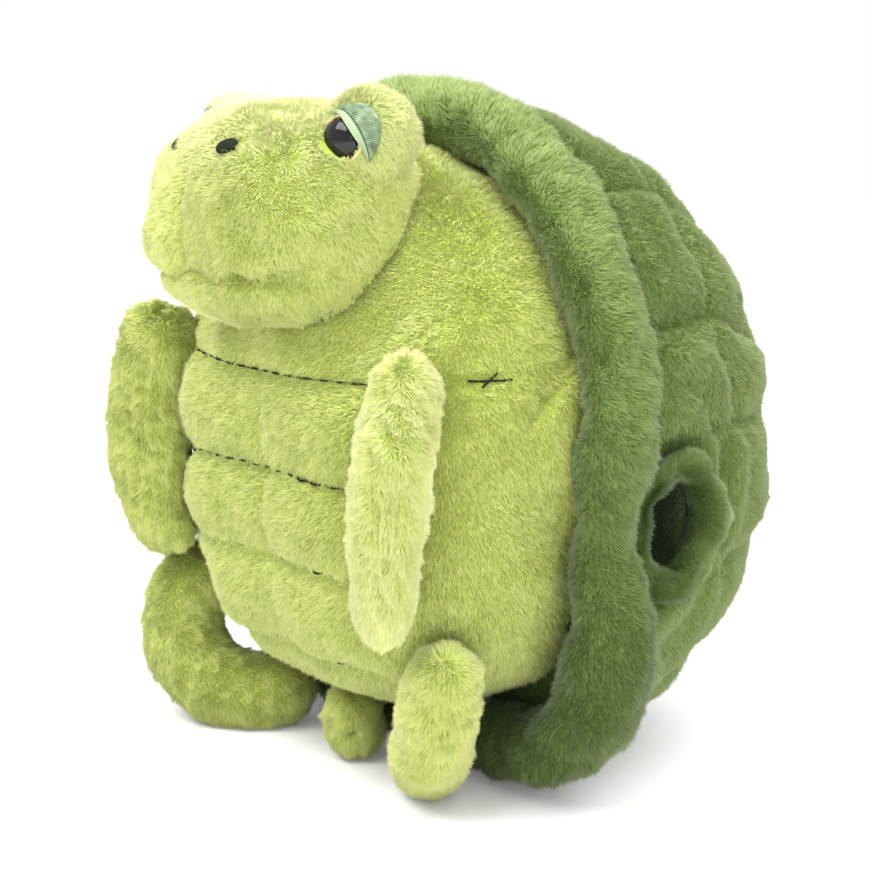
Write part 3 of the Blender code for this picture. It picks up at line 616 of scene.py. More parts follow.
def add_body(look):
    ways, faces = sphere_ways(120, 84, "Y")
    item = new_object("body", body_form(ways), faces, look["body_cloth"], "torso",
                      ("body_cover", "body_stuffing"))

    def keep(place):
        """The front, but little of what the head hides."""
        seen = smooth_step(-place[:, 1], 0.026, 0.036)
        under = unit(place - NECK) @ NECK_AXIS
        hidden = smooth_step(under, math.cos(math.radians(26)), math.cos(math.radians(20)))
        return seen * (1.0 - 0.9 * hidden)

    def comb(place):
        return np.array([0.0, 0.0, -1.0]) + (place - BODY_MIDDLE) * np.array([2.0, -1.0, 0.0])

    def length(place):
        """Shorter on the sewn rows."""
        near = np.zeros(len(place))
        for row, half in enumerate(ROW_REACHES):
            sewn = bump(place[:, 2] - row_line(row, place[:, 0]), 0.004)
            near = np.maximum(near, sewn * (np.abs(place[:, 0]) < half))
        return BODY_PILE * (1.0 - 0.35 * near)

    def shade(place):
        """Painted shade on the flanks, round the middle rows and in every sewn row, and painted light over
        the top.
        """
        reach = np.abs(place[:, 0])
        flank = smooth_step(reach, 0.085, 0.120)
        tone = 0.03 - 0.12 * flank
        tone -= 0.09 * bump(place[:, 2] - 0.170, 0.045) * (1.0 - flank)
        for row, half in enumerate(ROW_REACHES):
            tone -= 0.13 * bump(place[:, 2] - row_line(row, place[:, 0]) + 0.001, 0.0045) * (reach < half)
        # Painted light over the top, where light from above falls
        return tone + 0.06 * smooth_step(place[:, 2], 0.225, 0.260)
    add_fur("body_pile", item, 260000, 11, comb, length, 0.75, shade, look, "body_fur", "torso", keep)


# Shell

CHANNEL_RINGS = (36.0, 63.0)                       # degrees from the shell's top
CHANNEL_RAYS = (-60.0, -30.0, 0.0, 22.5, 52.5)     # degrees above the level
SHELL_PUFF = 0.0095
SHELL_INSET = 0.0048
SHELL_PILE = 0.0046
RIM_IN_ROLL = 0.0055
FOLD_HALF_DEPTH = 0.040
FOLD_HALF_HEIGHT = 0.052

# Height, place and width of each fold round the hand opening, the last two as shares of its measure
MOUTH_FOLDS = ((0.0065, 0.0, 0.16), (-0.0055, 0.34, 0.12), (0.0030, 0.62, 0.14), (-0.0035, 0.90, 0.10))
BORE_GAP = 0.0028          # from the hand opening to the hole cut for it


def channel_distance(points):
    """How far each place on the shell is from the nearest quilting channel."""
    from_middle = points - SHELL_MIDDLE
    girth = np.hypot(from_middle[:, 0], from_middle[:, 2])
    ring_angle = np.degrees(np.arctan2(girth, from_middle[:, 1]))
    ray_angle = np.degrees(np.arctan2(from_middle[:, 2], np.abs(from_middle[:, 0])))
    wave = 2.0 * Waves(5, 0.09).value(points)
    nearest = np.full(len(points), 1.0)
    for ring in CHANNEL_RINGS:
        nearest = np.minimum(nearest, np.radians(np.abs(ring_angle + wave * 0.5 - ring)) * SHELL_DEPTH)
    for ray in CHANNEL_RAYS:
        steps = np.radians(np.abs(ray_angle + wave * 0.4 - ray)) * girth
        nearest = np.where(ring_angle > CHANNEL_RINGS[0], np.minimum(nearest, steps), nearest)
    return nearest


def widened_rim(points):
    """The shell's rim grows at its lower corners, so that it ends in the roll."""
    up_share = (points[:, 2] - ROLL_MIDDLE_Z) / ROLL_HALF_HEIGHT
    turn = np.arctan2(up_share, points[:, 0] / ROLL_HALF_WIDTH)
    across, up = np.abs(np.cos(turn)), np.abs(np.sin(turn))
    half_height = (SHELL_MIDDLE_Z + SHELL_SINK) / ROLL_HALF_HEIGHT
    wide_share = across * ROLL_HALF_WIDTH / SHELL_HALF_WIDTH
    shell_reach = outline_reach(wide_share, up / half_height, SHELL_EXPONENTS[0])
    roll_reach = outline_reach(across, up, ROLL_EXPONENTS[0])
    growth = np.clip(roll_reach / shell_reach, 1.0, 1.2) - 1.0
    growth = growth * smooth_step(-up_share, 0.38, 0.55)
    growth = growth * (1.0 - smooth_step(points[:, 1], SHELL_MIDDLE[1], SHELL_MIDDLE[1] + 0.050))
    out = points.copy()
    out[:, 0] *= 1.0 + growth
    out[:, 2] = ROLL_MIDDLE_Z + (points[:, 2] - ROLL_MIDDLE_Z) * (1.0 + growth)
    return out


def mouth_folds(points):
    """Heights of the folds round the hand opening's mouths."""
    y = (points[:, 1] - TUNNEL[1] + 0.004) / FOLD_HALF_DEPTH
    z = (points[:, 2] - TUNNEL[2]) / FOLD_HALF_HEIGHT
    away = np.hypot(y, z) - 1.0 + 0.08 * np.sin(3.0 * np.arctan2(z, y) + 0.8)
    folds = sum(height * bump(away - place, spread) for height, place, spread in MOUTH_FOLDS)
    return folds * smooth_step(np.abs(points[:, 0]), 0.10, 0.12) * smooth_step(points[:, 1], -0.004, 0.014)


def shell_form(ways):
    """The shell with its quilted pillows, its folds and its flat front inside the roll."""
    points = widened_rim(shell_surface(ways))
    front = ways[:, 1] < 0.0
    puff = 1.0 - np.exp(-np.abs(channel_distance(points) / 0.010) ** 1.2)
    puff = puff * smooth_step(mouth_distance(points, FOLD_HALF_DEPTH, FOLD_HALF_HEIGHT), 0.8, 1.4)
    puff = puff * smooth_step(points[:, 1] - SHELL_MIDDLE[1], 0.0, 0.022)
    puff = puff * smooth_step(points[:, 2], 0.0, 0.019)
    lift = puff * SHELL_PUFF - SHELL_INSET + 0.0010 * Waves(6, 0.045).value(points) * (points[:, 2] > 0.004)
    lift += mouth_folds(points)
    points = rested(points + unit(points - SHELL_MIDDLE) * lift[:, None])
    points[front, 1] = SHELL_MIDDLE[1] - RIM_IN_ROLL + 0.0005 * (1.0 - np.abs(ways[front, 1]))
    return points


def bore_object(half_length):
    """The bar that cuts the hand opening through the shell."""
    sides = 48
    angles = np.linspace(0.0, 2.0 * math.pi, sides, endpoint=False)
    ring = np.stack([np.zeros(sides), np.cos(angles) * (TUNNEL_HALF_DEPTH + BORE_GAP),
                     np.sin(angles) * (TUNNEL_HALF_HEIGHT + BORE_GAP)], axis=1) + TUNNEL
    left, right = ring.copy(), ring.copy()
    left[:, 0] = half_length
    right[:, 0] = -half_length
    faces = [(i, (i + 1) % sides, sides + (i + 1) % sides, sides + i) for i in range(sides)]
    faces += [tuple(range(sides)), tuple(range(2 * sides - 1, sides - 1, -1))]
    item = plain_object("bore", np.vstack([left, right]), faces)
    turn_outward(item)
    return item


def add_shell(look):
    ways, faces = sphere_ways(168, 120, "Y")
    item = new_object("shell", shell_form(ways), faces, look["shell_cloth"], None)
    cut_or_join(item, bore_object(0.2), "DIFFERENCE")
    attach(item, "torso")
    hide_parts("shell_cover", "shell_stuffing")

    def keep_side(side):
        def keep(place):
            """One half of the outside, without the hand opening."""
            outside = smooth_step(place[:, 1], -0.0104, -0.0098) * (place[:, 0] * side > 0.0)
            return outside * (mouth_distance(place, 0.021, 0.033) > 1.0) * above_floor(place)
        return keep

    def comb(place):
        away = place - (SHELL_MIDDLE + np.array([0.0, SHELL_DEPTH * 0.7, 0.05]))
        return unit(away) * 0.8 + np.array([0.0, 0.0, -0.75])

    def length(place):
        return SHELL_PILE * (1.0 - 0.45 * bump(channel_distance(place), 0.0035))

    def shade(place):
        """Painted shade in the channels, round the hand opening and beside the roll."""
        hole = mouth_distance(place, 0.028, 0.040)
        tone = 0.03 - 0.24 * bump(channel_distance(place), 0.0038) - 0.26 * bump(hole - 0.95, 0.30)
        return tone - 0.10 * (1.0 - smooth_step(place[:, 1], 0.0, 0.03))
    for side, side_name in SIDES:
        add_fur("shell_pile_" + side_name, item, 160000, 21 + int(side), comb, length, 0.95, shade,
                look, "shell_fur", "torso", keep_side(side))


# Roll and hand opening

ROLL_INSET = 0.0026
ROLL_PILE = 0.0054
CUFF_PILE = 0.0050
CUFF_RADIUS_FRONT = 0.0065
CUFF_RADIUS_BACK = 0.0040
LINING_HALF_LENGTH = 0.149
LINING_OUTSIDE = 0.0023    # from the hand opening's measure to the lining's two faces
LINING_INSIDE = 0.0004


def add_roll(look):
    a, b, faces = ring_grid(260, 36)
    line = roll_line(a)
    ahead = roll_line(a + 0.01) - roll_line(a - 0.01)
    sideways = unit(np.stack([ahead[:, 2], np.zeros(len(a)), -ahead[:, 0]], axis=1))
    radius = ROLL_RADIUS - 0.005 * bump(line[:, 2] - TUNNEL[2] - 0.004, 0.020)
    radius = radius + 0.0040 * bump(line[:, 2] - 0.080, 0.045)
    spokes = sideways * np.cos(b)[:, None] + np.array([0.0, -1.0, 0.0]) * np.sin(b)[:, None]
    points = drawn_in(line, ROLL_HALF_WIDTH) + spokes * radius[:, None]
    wrinkle = 0.0011 * Waves(7, 0.030).value(points) + 0.0006 * Waves(8, 0.014).value(points)
    points = rested(points + spokes * (wrinkle - ROLL_INSET)[:, None])
    item = new_object("roll", points, faces, look["shell_cloth"], "torso",
                      ("roll_cover", "roll_filling"))

    def keep(place):
        """All but the side that lies against the shell and the body."""
        rise = place[:, 2] - ROLL_MIDDLE_Z
        across = np.hypot(place[:, 0] / (ROLL_HALF_WIDTH - 0.008), rise / (ROLL_HALF_HEIGHT - 0.008))
        inner = (across < 1.0) & (place[:, 1] > -0.034)
        return np.where(inner, 0.0, 1.0) * above_floor(place)

    def comb(place):
        outward = unit((place - BODY_MIDDLE) * np.array([1.0, 0.0, 1.0]))
        return outward * 0.8 + np.array([0.0, 0.35, -0.55])

    def shade(place):
        """Painted shade towards the floor and where the roll meets the body."""
        inward = 1.0 - smooth_step(np.hypot(place[:, 0], place[:, 2] - ROLL_MIDDLE_Z), 0.135, 0.155)
        low = 1.0 - smooth_step(place[:, 2], 0.050, 0.260)
        return -0.06 - 0.38 * low - 0.12 * inward
    add_fur("roll_pile", item, 190000, 31, comb, ROLL_PILE, 0.9, shade, look, "shell_fur", "torso", keep)


def two_walls(faces, shift):
    """The faces of an outer wall, each followed by the one behind it."""
    both = []
    for face in faces:
        both += [face, tuple(shift + corner for corner in reversed(face))]
    return both


def add_lining(look):
    """The lining that runs through the turtle from side to side."""
    rows, sides = 41, 48
    xs = np.linspace(-LINING_HALF_LENGTH, LINING_HALF_LENGTH, rows)

    def tube(wider):
        depth, height = TUNNEL_HALF_DEPTH + wider, TUNNEL_HALF_HEIGHT + wider
        return TUNNEL + np.array([(x, depth * math.cos(t), height * math.sin(t))
                                  for x in xs for t in turns(sides)])
    outer, inner = tube(LINING_OUTSIDE), tube(LINING_INSIDE)
    inner[:, 1:] += 0.0004 * np.stack([Waves(9, 0.02).value(inner), Waves(10, 0.02).value(inner)], axis=1)
    shift = len(outer)
    last = shift - sides
    faces = two_walls(grid_faces(rows, sides, rows_close=False), shift)
    for k in range(sides):
        m = (k + 1) % sides
        faces.append((k, m, shift + m, shift + k))
        faces.append((last + m, last + k, shift + last + k, shift + last + m))
    item = new_object("lining", np.vstack([outer, inner]), faces, look["fleece"], "torso",
                      ("tunnel_lining",))


def add_cuff(side, side_name, look):
    """The folded rim of one mouth of the hand opening."""
    a, b, faces = ring_grid(96, 24)
    radius = CUFF_RADIUS_FRONT + (CUFF_RADIUS_BACK - CUFF_RADIUS_FRONT) * (0.5 - 0.5 * np.cos(a))
    radius = radius * (1.0 + 0.16 * np.sin(3.0 * a + 0.6) + 0.12 * np.sin(5.0 * a + 2.0))
    pinch = -0.0014 + 0.0012 * np.sin(2.0 * a + 2.4) + 0.0006 * np.sin(5.0 * a + 0.9)
    y = TUNNEL[1] + np.cos(a) * (TUNNEL_HALF_DEPTH + radius + pinch)
    z = TUNNEL[2] + np.sin(a) * (TUNNEL_HALF_HEIGHT + radius + pinch)
    x = shell_side_x(y, z) + radius + 0.0004
    spokes = np.stack([np.sin(b), np.cos(b) * np.cos(a), np.cos(b) * np.sin(a)], axis=1)
    ring = np.stack([x, y, z], axis=1) + spokes * radius[:, None]
    ring += spokes * (0.0009 * Waves(12, 0.018).value(ring))[:, None]
    ring[:, 0] *= side
    cuff = new_object("cuff_fold_" + side_name, ring, faces, look["shell_cloth"], "torso",
                      ("cuff_" + side_name,))

    def comb(place):
        away = (place - TUNNEL) * np.array([0.0, 1.0, 1.0])
        return unit(away) * 0.8 + np.array([0.0, 0.2, -0.2])

    def shade(place):
        """Painted shade towards the hole, and some over the whole fold."""
        hole = mouth_distance(place, TUNNEL_HALF_DEPTH, TUNNEL_HALF_HEIGHT)
        return -0.42 * (1.0 - smooth_step(hole, 1.10, 1.90)) - 0.10
    add_fur("cuff_pile_" + side_name, cuff, 26000, 41 + int(side), comb, CUFF_PILE, 0.8, shade,
            look, "shell_fur", "torso")


# Head

HEAD_INSET = 0.0032
HEAD_PILE = 0.0042

# How far out and how deep each tuck under the mouth lies
MUZZLE_TUCKS = ((0.014, 0.0044), (0.040, 0.0028), (0.058, 0.0030))
LID_MIDDLE = unit(np.array([0.532, -0.837, -0.128]))
LID_LEAN = unit(np.array([0.723, 0.370, 0.584]))
LID_ACROSS = np.cross(LID_MIDDLE, LID_LEAN)
LID_CENTRE = unit(LID_MIDDLE + 0.21 * LID_ACROSS + 0.30 * LID_LEAN)
LID_HALF_LENGTH = math.radians(43.0)
LID_HEIGHT = math.radians(37.0)
LID_SHIFT = math.radians(12.0)


def head_surface(ways):
    return HEAD + rounded(ways, HEAD_HALVES, HEAD_EXPONENT, HEAD_EXPONENT)


def head_form(points):
    """Folds of the muzzle, the mouth and the soft swellings of the cheeks."""
    x, y, z = points.T
    reach = np.abs(x)
    out = unit(points - HEAD)
    lift = 0.0010 * Waves(13, 0.045).value(points) + 0.0004 * Waves(14, 0.018).value(points)
    low = smooth_step(-y, 0.125, 0.150)
    mouth_z = 0.2745 + 0.0020 * np.cos(reach / 0.0065) + 0.012 * smooth_step(reach, 0.046, 0.072)
    mouth = bump(z - mouth_z, 0.0032) * (1.0 - smooth_step(reach, 0.060, 0.074))
    lift -= 0.0032 * mouth * smooth_step(-y, 0.100, 0.125)
    for tuck_x, depth in MUZZLE_TUCKS:
        lift -= depth * bump(np.hypot(reach - tuck_x, z - 0.2765), 0.0050) * low
    lift += 0.0016 * bump(z - mouth_z - 0.011, 0.008) * low
    lift += 0.0022 * bump(z - mouth_z + 0.013, 0.009) * low
    middle = bump(x + 0.004, 0.0038) * smooth_step(0.338 - z, 0.0, 0.014)
    lift -= 0.0052 * middle * smooth_step(z - mouth_z, -0.004, 0.004) * low
    fold = bump(reach - 0.010 - 0.06 * (0.310 - z), 0.0026) * smooth_step(0.325 - z, 0.0, 0.015)
    lift -= 0.0016 * fold * smooth_step(z - mouth_z, -0.004, 0.006) * smooth_step(-y, 0.155, 0.168)
    lift += 0.0020 * bump(np.hypot(reach - 0.055, z - 0.300), 0.022) * low
    crease = (z - 0.345) - 0.55 * (reach - 0.0255)
    lift -= 0.0022 * bump(crease, 0.0030) * bump(reach - 0.030, 0.010) * smooth_step(-y, 0.145, 0.158)
    front = smooth_step(-out[:, 1], 0.55, 0.92) * smooth_step(z, 0.262, 0.280)
    front = front * (1.0 - smooth_step(z, 0.330, 0.345))
    return points + out * (lift - HEAD_INSET - 0.0030 * front)[:, None]


def head_object(look):
    """Head and brows joined to one skin, evened out, folded and set against the body."""
    ways, faces = sphere_ways(96, 64)
    cheek = unit(np.array([0.50, -0.80, -0.12]))
    swell = 0.007 * bump(np.linalg.norm(mirrored(ways) - cheek, axis=1), 0.55)
    head = new_object("head", head_surface(ways) + ways * swell[:, None], faces, look["body_cloth"], None)
    ways, faces = sphere_ways(40, 28)
    for side, _ in SIDES:
        points = BROW * np.array([side, 1.0, 1.0]) + ways * (BROW_RADIUS + 0.0005)
        cut_or_join(head, new_object("brow", points, faces, look["body_cloth"], None), "UNION")
    remesh = head.modifiers.new("Even", "REMESH")
    remesh.mode = "VOXEL"
    remesh.voxel_size = 0.0020
    relax = head.modifiers.new("Relax", "SMOOTH")
    relax.iterations = 14
    relax.factor = 0.5
    apply_modifiers(head)
    spokes = head_form(mesh_arrays(head)[0]) - NECK
    lengths = np.linalg.norm(spokes, axis=1, keepdims=True)
    points = NECK + spokes / lengths * np.maximum(lengths, NECK_RADIUS + 0.0050)
    head.data.vertices.foreach_set("co", points.astype(np.float32).ravel())
    head.data.update()
    return head


def add_head(look):
    head = head_object(look)
    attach(head, "head")
    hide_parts("head_cover", "head_stuffing")

    def keep(place):
        """All but the eyes, the eyelid patches, the nostrils and what lies on the body."""
        patch = (np.linalg.norm(mirrored(place) - BROW, axis=1) < BROW_RADIUS + 0.004) & in_lid(place)
        from_eye = mirrored(place) - EYE_CENTRE
        along = from_eye @ EYE_AIM
        lowered = from_eye - along[:, None] * EYE_AIM
        lowered[:, 2] -= 0.0022
        eye = (np.linalg.norm(lowered, axis=1) < 0.0100) & (np.abs(along) < 0.014)
        hidden = np.linalg.norm(place - NECK, axis=1) < NECK_RADIUS + 0.0036
        hidden &= unit(place - NECK) @ NECK_AXIS > math.cos(math.radians(24))
        nose = np.hypot(np.abs(place[:, 0]) - 0.0250, place[:, 2] - 0.342) < 0.0032
        nose &= place[:, 1] < -0.150
        return np.where(eye | patch | hidden | nose, 0.0, 1.0)

    def comb(place):
        away = unit((place - HEAD) * np.array([1.0, 0.3, 0.0]))
        return away * 0.60 + np.array([0.0, 0.0, -0.75])

    def length(place):
        """Longer round the eyelid patch and under the eye, which the pile overlaps."""
        from_brow = mirrored(place) - BROW
        turn = np.degrees(np.arccos(np.clip(unit(from_brow) @ LID_CENTRE, -1.0, 1.0)))
        near = np.linalg.norm(from_brow, axis=1) < BROW_RADIUS + 0.006
        return HEAD_PILE + 0.0022 * bump(turn - 46.0, 14.0) * near

    def shade(place):
        """Painted shade in the mouth, painted light over the top."""
        mouth = bump(place[:, 2] - 0.2755, 0.0035) * (place[:, 1] < -0.14) * (np.abs(place[:, 0]) < 0.062)
        return 0.08 - 0.16 * mouth + 0.36 * smooth_step(place[:, 2], 0.318, 0.350)
    add_fur("head_pile", head, 180000, 51, comb, length, 0.85, shade, look, "body_fur", "head", keep)


def in_lid(place):
    """Whether a place on a brow lies under its eyelid patch."""
    left = unit(mirrored(place) - BROW)
    turn = np.arccos(np.clip(left @ LID_MIDDLE, -1.0, 1.0))
    around = np.arctan2(left @ LID_LEAN, left @ LID_ACROSS)
    along, across = (turn * np.cos(around) - LID_SHIFT) / LID_HALF_LENGTH, turn * np.sin(around)
    inner, outer = lid_edges(along)
    return (np.abs(along) < 0.97) & (across > inner) & (across < outer - 0.05)


def lid_edges(along):
    """Angles of the patch's two edges from its middle line, for a share of its half length."""
    inner = np.radians(3.6 - 10.0 * along ** 2 - 19.0 * np.maximum(along, 0.0) ** 6)
    return inner, inner + LID_HEIGHT * np.maximum(1.0 - along ** 2, 0.0) ** 0.45


def add_neck(look):
    """The sewn neck, which the head hides."""
    low, high = math.radians(10.0), math.radians(20.0)
    side = unit(np.cross(NECK_AXIS, np.array([1.0, 0.0, 0.0])))
    other = np.cross(NECK_AXIS, side)
    steps, around = 10, 72
    profile = [(low + (high - low) * i / steps, NECK_RADIUS + 0.0004) for i in range(steps + 1)]
    profile += [(high - (high - low) * i / steps, NECK_RADIUS + 0.0022) for i in range(steps + 1)]
    points = []
    for polar, radius in profile:
        for t in turns(around):
            spoke = side * math.cos(t) + other * math.sin(t)
            points.append(NECK + (NECK_AXIS * math.cos(polar) + spoke * math.sin(polar)) * radius)
    item = new_object("neck_band", points, grid_faces(len(profile), around), look["body_cloth"], "neck",
                      ("neck_seam",))


# Limbs

LIMB_INSET = 0.0018
LIMB_PILE = 0.0052
LIMB_CAP = 0.25            # share of the rings on each rounded end
SEAM_SIDE = unit(np.array([0.80, -0.60, 0.0]))

# For the left side: root, bow and reach, whose height is left open where the limb ends on the floor,
# then the radii at root, middle and tip, how much broader one way, tone and number of strands.
# The tone is painted light on the near flipper, over its own paler pile, and painted shade on the far limbs
# and the tail
LIMBS = {
    "flipper_left": ((0.1182, -0.1290, 0.2255), (0.0060, -0.0130, -0.0515), (-0.003, -0.0102, -0.1055),
                     (0.0190, 0.0195, 0.0150), 0.24, 0.28, 50000),
    "flipper_right": ((0.1162, -0.1312, 0.2292), (0.0022, -0.0072, -0.053), (-0.0055, -0.0022, -0.107),
                      (0.0205, 0.0213, 0.0165), 0.24, -0.06, 50000),
    "leg_left": ((0.1185, -0.1048, 0.0805), (-0.020, 0.0085, -0.041), (-0.0545, 0.031, None),
                 (0.0185, 0.0200, 0.0185), 0.04, 0.02, 40000),
    "leg_right": ((0.1225, -0.1080, 0.0825), (0.000, -0.0095, -0.0275), (-0.046, 0.028, None),
                  (0.0225, 0.0245, 0.0225), 0.04, -0.06, 45000),
    "tail": ((0.0, -0.0789, 0.0284), (0.0, 0.0002, -0.0065), (0.0, 0.002, None),
             (0.0150, 0.0160, 0.0160), 0.04, -0.04, 14000),
}


def arc(root, bow, reach):
    """The arc from a root through root + bow to root + reach: its places, its ways and its axis."""
    normal = np.cross(bow, reach)
    centre = np.cross(reach * (bow @ bow) - bow * (reach @ reach), normal) / (2.0 * (normal @ normal))
    start, end = -centre, reach - centre
    axis = normal / np.linalg.norm(normal)
    sweep = math.atan2(axis @ np.cross(start, end), start @ end) % (2.0 * math.pi)

    def place(share):
        turn = (sweep * share)[:, None]
        return root + centre + start * np.cos(turn) + np.cross(axis, start) * np.sin(turn)

    def ahead(share):
        turn = (sweep * share)[:, None]
        return unit(np.cross(axis, start) * np.cos(turn) - start * np.sin(turn))
    return place, ahead, axis


def limb_form(root, bow, reach, radii, broad, seed):
    """A stuffed tube on an arc, broader one way, with a sewn seam along its outer edge."""
    place, ahead, side = arc(root, bow, reach)
    ways, faces = sphere_ways(56, 64)
    turn = np.arccos(np.clip(ways[:, 2], -1.0, 1.0)) / math.pi
    share = np.clip((turn - LIMB_CAP) / (1.0 - 2.0 * LIMB_CAP), 0.0, 1.0)
    on_caps = np.minimum(turn, LIMB_CAP) + np.maximum(turn - 1.0 + LIMB_CAP, 0.0)
    polar = on_caps * math.pi / (2.0 * LIMB_CAP)
    forward = ahead(share)
    front = np.cross(np.broadcast_to(side, forward.shape), forward)
    around = np.arctan2(ways[:, 1], ways[:, 0])
    radius = radii[0] * (1.0 - share) * (1.0 - 2.0 * share) + 4.0 * radii[1] * share * (1.0 - share)
    radius = radius + radii[2] * share * (2.0 * share - 1.0)
    spokes = side * np.cos(around)[:, None] + front * np.sin(around)[:, None]
    facing = spokes @ SEAM_SIDE
    radius = radius * (1.0 - 0.30 * broad + broad * facing ** 2) - LIMB_INSET
    middle = place(share)
    points = middle + (spokes * np.sin(polar)[:, None] - forward * np.cos(polar)[:, None]) * radius[:, None]
    wobble = 0.0006 * Waves(seed, 0.040).value(points) + 0.0002 * Waves(seed + 1, 0.018).value(points)
    off = np.arccos(np.clip(facing, -1.0, 1.0)) + 0.10 * np.sin(share * 9.0)
    wobble -= 0.0034 * bump(off - 0.10, 0.11) * np.sin(polar) * smooth_step(share, 0.15, 0.45)
    points = rested(points + unit(points - middle) * wobble[:, None])
    return points, faces, ahead(np.array([0.5]))[0]


def add_limb(name, look, seed):
    root, bow, reach, radii, broad, tone, strands = LIMBS[name]
    side = -1.0 if name.endswith("right") else 1.0
    down = radii[2] - 0.0005 - root[2] if reach[2] is None else reach[2]
    points, faces, way = limb_form(np.array(root), np.array(bow), np.array([reach[0], reach[1], down]),
                                   radii, broad, seed)
    points[:, 0] *= side
    way = way * np.array([side, 1.0, 1.0])
    item = new_object(name, points, faces, look["body_cloth"], name,
                      (name + "_cover", name + "_stuffing"))

    def comb(place):
        return np.broadcast_to(way, place.shape) + np.array([0.0, 0.0, -0.3])

    def shade(place):
        # The limb's tone: painted light on the near flipper, over its paler pile, and painted shade on the
        # far limbs and the tail
        return np.full(len(place), tone)
    add_fur(name + "_pile", item, strands, seed, comb, LIMB_PILE, 0.85, shade, look, "body_fur", name,
            above_floor)


# Belly threads

STITCH_LENGTH = 0.0125
THREAD_RADIUS = 0.0006

# Half width of each belly row and how high its thread lies on the pile's ground
ROW_THREADS = (("chest", 0.088, 0.0016), ("upper", 0.108, 0.0015),
               ("lower", 0.075, 0.0005), ("bottom", 0.050, 0.0001))

# Where the tacks beside the two upper rows start, and their height
TACKS = (("chest", 0.127, 0.231), ("upper", 0.1095, 0.165))
TACK_LIFT = 0.0014


def add_thread(name, xs, heights, look, node, phase, lift):
    """A running stitch that dips in and out of the body's pile."""
    count = len(xs)
    rise = heights - BODY_MIDDLE[2]
    section = mixed(*BODY_EXPONENTS, rise / BODY_HALF_HEIGHT)
    across = (np.abs(xs) / BODY_HALF_WIDTH) ** section + (np.abs(rise) / BODY_HALF_HEIGHT) ** section
    depth = (1.0 - across ** (BODY_PROFILE / section)) ** (1.0 / BODY_PROFILE)
    place = body_form(unit(np.stack([xs, -BODY_DEPTH * depth, rise], axis=1)))
    length = np.linalg.norm(np.diff(place, axis=0), axis=1).sum()
    dip = np.cos(np.arange(count) / (count - 1) * length / STITCH_LENGTH * 2.0 * math.pi + phase)
    buried = 0.0005 * Waves(95, 0.030).value(place)
    line = place + body_outward(place) * (lift + buried + 0.0009 * np.tanh(dip * 2.0))[:, None]
    ahead = unit(np.gradient(line, axis=0))
    guide = np.array([0.0, 0.0, 1.0]) if abs(ahead[0][2]) < 0.9 else np.array([0.0, 1.0, 0.0])
    first = unit(np.cross(ahead, guide))
    second = np.cross(ahead, first)
    sides = 6
    points = np.vstack([line + (first * math.cos(t) + second * math.sin(t)) * THREAD_RADIUS
                        for t in turns(sides)])
    faces = grid_faces(sides, count, columns_close=False)
    faces.append(tuple(k * count for k in range(sides)))
    faces.append(tuple(k * count + count - 1 for k in range(sides)))
    new_object(name, points, faces, look["thread"], "torso", (node,) if node else ())


def add_threads(look):
    for row, (name, half, lift) in enumerate(ROW_THREADS):
        xs = np.linspace(-half, half, 160)
        add_thread("thread_" + name, xs, row_line(row, xs), look, "stitch_" + name, row * 1.3, lift)
    for name, start, height in TACKS:
        for side, side_name in SIDES:
            xs = side * np.linspace(start, start + 0.010, 24)
            add_thread("tack_" + name + "_" + side_name, xs, np.full(24, height), look,
                       "bartack_" + name + "_" + side_name, 0.0, TACK_LIFT)
            xs = side * (start + 0.0055 + np.linspace(-0.0010, 0.0010, 16))
            heights = height + np.linspace(-0.0034, 0.0034, 16)
            add_thread("tack_cross_" + name + "_" + side_name, xs, heights, look, None, 0.0, TACK_LIFT)


# Eyes, eyelids and nostrils

EYE_RADIUS = 0.0105
EYE_HEIGHT = 0.0068
RIM_INSIDE = 0.0107
RIM_THICKNESS = 0.0008
LID_BAND = 0.26            # share of the lid's height that its lower edge band takes
NOSTRIL_WAY = unit(np.array([0.235, -0.480, 0.350]))


def turned_object(name, profile, side, material, nodes):
    """A solid of revolution about the way the eye on this side looks."""
    aim = Vector((EYE_AIM[0] * side, EYE_AIM[1], EYE_AIM[2]))
    turn = aim.to_track_quat("Z", "Y").to_matrix().to_4x4()
    matrix = Matrix.Translation((EYE_CENTRE[0] * side, EYE_CENTRE[1], EYE_CENTRE[2])) @ turn
    segments, rows = 64, len(profile)
    points = [matrix @ Vector((radius * math.cos(t), radius * math.sin(t), height))
              for radius, height in profile for t in turns(segments)]
    faces = grid_faces(rows, segments, rows_close=False)
    faces.append(tuple(range(segments)))
    faces.append(tuple((rows - 1) * segments + k for k in range(segments)))
    new_object(name, points, faces, material, "head", nodes)


def add_eye(side, side_name, look):
    dome = [(EYE_RADIUS * math.sin(t), EYE_HEIGHT * math.cos(t))
            for t in np.linspace(0.02, math.pi / 2, 28)]
    dome += [(EYE_RADIUS, -0.0055), (0.002, -0.0058)]
    turned_object("eye_dome_" + side_name, dome, side, look["eye"], ("eye_" + side_name,))
    rim = [(RIM_INSIDE + RIM_THICKNESS * (1 - math.cos(t)), RIM_THICKNESS * math.sin(t) + 0.0004)
           for t in np.linspace(0, math.pi, 12)]
    rim += [(0.0121, -0.0014), (RIM_INSIDE, -0.0014)]
    rim.append(rim[0])
    turned_object("eye_rim_" + side_name, rim, side, look["gold"], ("eye_ring_" + side_name,))


